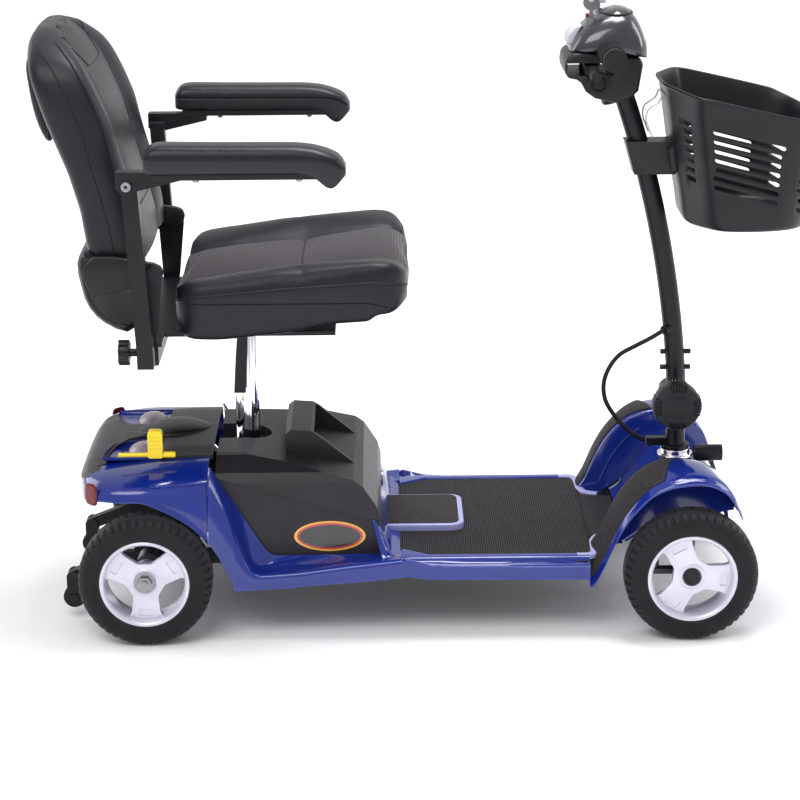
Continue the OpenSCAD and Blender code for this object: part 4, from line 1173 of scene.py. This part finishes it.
make("console_window", plate, M["ink"], "tiller", sharp=60)
loop = [(301 + 25 * cos(a), 41 * sin(a), dome(301 + 25 * cos(a), 41 * sin(a)) + 0.4) for a in turns(48, 1)]
pipe("console_bezel", [loop], 1.4, "frame", "tiller")
tab = Shape().add(prism([(226, 866), (229, 880), (238, 890), (250, 894), (244, 884), (236, 866)], -26, 26))
make("console_ledge", tab, M["light"], "tiller", bevel=2, segs=3)

# ---------- wheels ----------
def rim_skin(name, sgn, turn, cap):
    """Three-spoke rim in three pieces; h is the distance outward from the rim's inner face, plus 1."""
    lo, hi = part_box(name)
    y_in = lo.y if sgn > 0 else hi.y
    cx, cz = ((lo.x + hi.x) / 2 - OX) * 1000, (lo.z + hi.z) * 500

    def place_pt(u, v, h):
        return (cx + u, y_in * 1000 + sgn * (h - 1), cz + v)

    def turned(u, v, h, c):
        return place_pt(u * cos(c) - v * sin(c), u * sin(c) + v * cos(c), h)

    def spun(profile, n):
        return loft([[place_pt(r * cos(a), r * sin(a), h) for h, r in profile] for a in turns(n, 1)],
                    caps=False)

    s = Shape()
    band = [(67.3, 3), (67.3, 57.5), (66.6, 58.6), (65.4, 59), (63.6, 58.4), (61.5, 56.8), (60, 54), (59, 49),
            (58.6, 42), (58.6, 26), (60, 14), (62.2, 6), (63, 2.5)]
    s.add(spun([(h, r) for r, h in band], 96))
    # Web: three spokes that widen toward the hub and meet the band in small fillets
    web = []
    for k in range(3):
        c = radians(turn + 120 * k)
        side_pts = [(60, -31), (53.2, -24.6), (50, -22.4), (44, -21), (32, -20), (26, -19.2), (21.5, -19.8)]
        whole = [(60.2 * cos(t), 60.2 * sin(t)) for t in [radians(q) for q in range(-26, 27, 4)]]
        loop = [(u, v) for u, v in side_pts[:0:-1]] + whole + [(u, -v) for u, v in side_pts[1:]]
        web += [(u * cos(c) - v * sin(c), u * sin(c) + v * cos(c)) for u, v in loop]
    s2 = Shape().add(loft([[place_pt(u, v, h) for u, v in web] for h in (36, 47)]))
    ob = make(name + "_web", s2, M["rim"], None, bevel=2.2, segs=3, sharp=40)
    pockets = Shape()
    for k in range(3):
        c = radians(turn + 120 * k)
        o = [(43, -11), (52, -11), (54, -9), (54, 9), (52, 11), (43, 11)]
        pockets.add(loft([[turned(u, v, h, c) for u, v in o] for h in (45, 50)]))
    cut(ob, pockets)
    shade(ob, 40)
    hub = [(4, 8.3), (4, 20), (5, 21), (44, 21), (47, 20.4), (48.4, 18.5), (48.6, 15), (47.4, 14),
           (47.4, 8.3), (4, 8.3)]
    s.add(spun(hub[:-1], 48))
    body = f"wheel_{name[4:]}"
    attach(ob, body)
    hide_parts(name)
    make(name + "_band", s, M["rim"], body, [name], sharp=40)
    if cap:
        disc = [(44, 0), (44, 13.4), (50, 13.4), (51.6, 12.4), (52, 11), (52, 9), (51.2, 8.2), (51.2, 0)]
        make(name + "_cap", spun(disc, 36), M["black"], body, [name], sharp=40)


for sgn, hand in ((-1, "right"), (1, "left")):
    rim_skin(f"rim_rear_{hand}", sgn, 30, False)
    rim_skin(f"rim_front_{hand}", sgn, -5, True)

# ---------- tilt knob, lever, reflectors ----------
lo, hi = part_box("tilt_knob")
kx, kz, kr = ((lo.x + hi.x) / 2 - OX) * 1000, (lo.z + hi.z) * 500, (hi.z - lo.z) * 500
y0 = lo.y * 1000
rings = []
prof = [(2.4, 0.0), (2.2, 12), (1.2, 17), (0.2, kr - 13), (0.2, kr - 12.5), (0.8, kr - 4.6), (3.5, kr - 3.2),
        (6, kr - 2.6), (24, kr - 2.6), (30, kr - 3.4), (33.5, kr - 7), (33.5, 15.2), (-y0 - 28.5, 15),
        (-y0 - 28.5, 6.6)]
for k in range(288):
    a = 2 * pi * k / 288
    sector = abs((a / (pi / 2) + 0.5) % 1 - 0.5) < 0.27
    row = []
    for i, (h, r) in enumerate(prof):
        if sector and 4 <= i <= 9:
            r += 2.4 if k % 6 < 3 and i > 4 else 0.4
            h += 1.9 if i < 6 and k % 6 >= 3 else 0
        elif 5 <= i <= 9:
            r += 0.9
        row.append((kx + r * cos(a), y0 + max(0, h), kz + r * sin(a)))
    rings.append(row)
rings.append(rings[0])
make("tilt_knob_skin", loft(rings, closed=False), M["black"], "tilt_knob", ["tilt_knob"], sharp=38)

lever = Shape().add(lathe([(-449, 0), (-449, 2.6), (-448.4, 3.2), (-406, 3.2), (-404, 4.6), (-366, 4.6),
                           (-363.4, 4), (-363.2, 0)], (0, -150, 273), "x", 24))
o = [(-404, 271), (-404, 306), (-402.5, 310.5), (-399, 312), (-387, 312), (-383.5, 310.5), (-382, 306),
     (-382, 271), (-384, 269), (-402, 269)]
lever.add(prism(o, -157, -143))
ob = make("freewheel_lever_skin", lever, M["yellow"], None, bevel=1.0, segs=3)
ribs = Shape()
for z in (283, 289, 295, 301):
    ribs.add(block(-401, -385, -158.5, -156, z, z + 2.4))
cut(ob, ribs)
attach(ob, "freewheel")
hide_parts("freewheel_lever")

# Reflector lenses across the rear corners of the body
ref = Shape()
ux, uy, nx, ny = 0.731, -0.682, -0.682, -0.731
loops = []
for off, g in ((0.4, 0), (-1.2, 0), (-2.4, 0.8), (-2.9, 2.2), (-3.0, 5)):
    pts = []
    for a in turns(32):
        u = copysign(abs(cos(a)) ** 0.55, cos(a)) * (13 - g)
        w = copysign(abs(sin(a)) ** 0.55, sin(a)) * (17 - g)
        pts.append((-486.5 + ux * u - nx * off, -195.2 + uy * u - ny * off, 226.5 + w))
    loops.append(pts)
ref.add(loft(loops))
ref.both()
make("reflector_lenses", ref, M["red"], "chassis", ["rear_reflectors"], sharp=50)
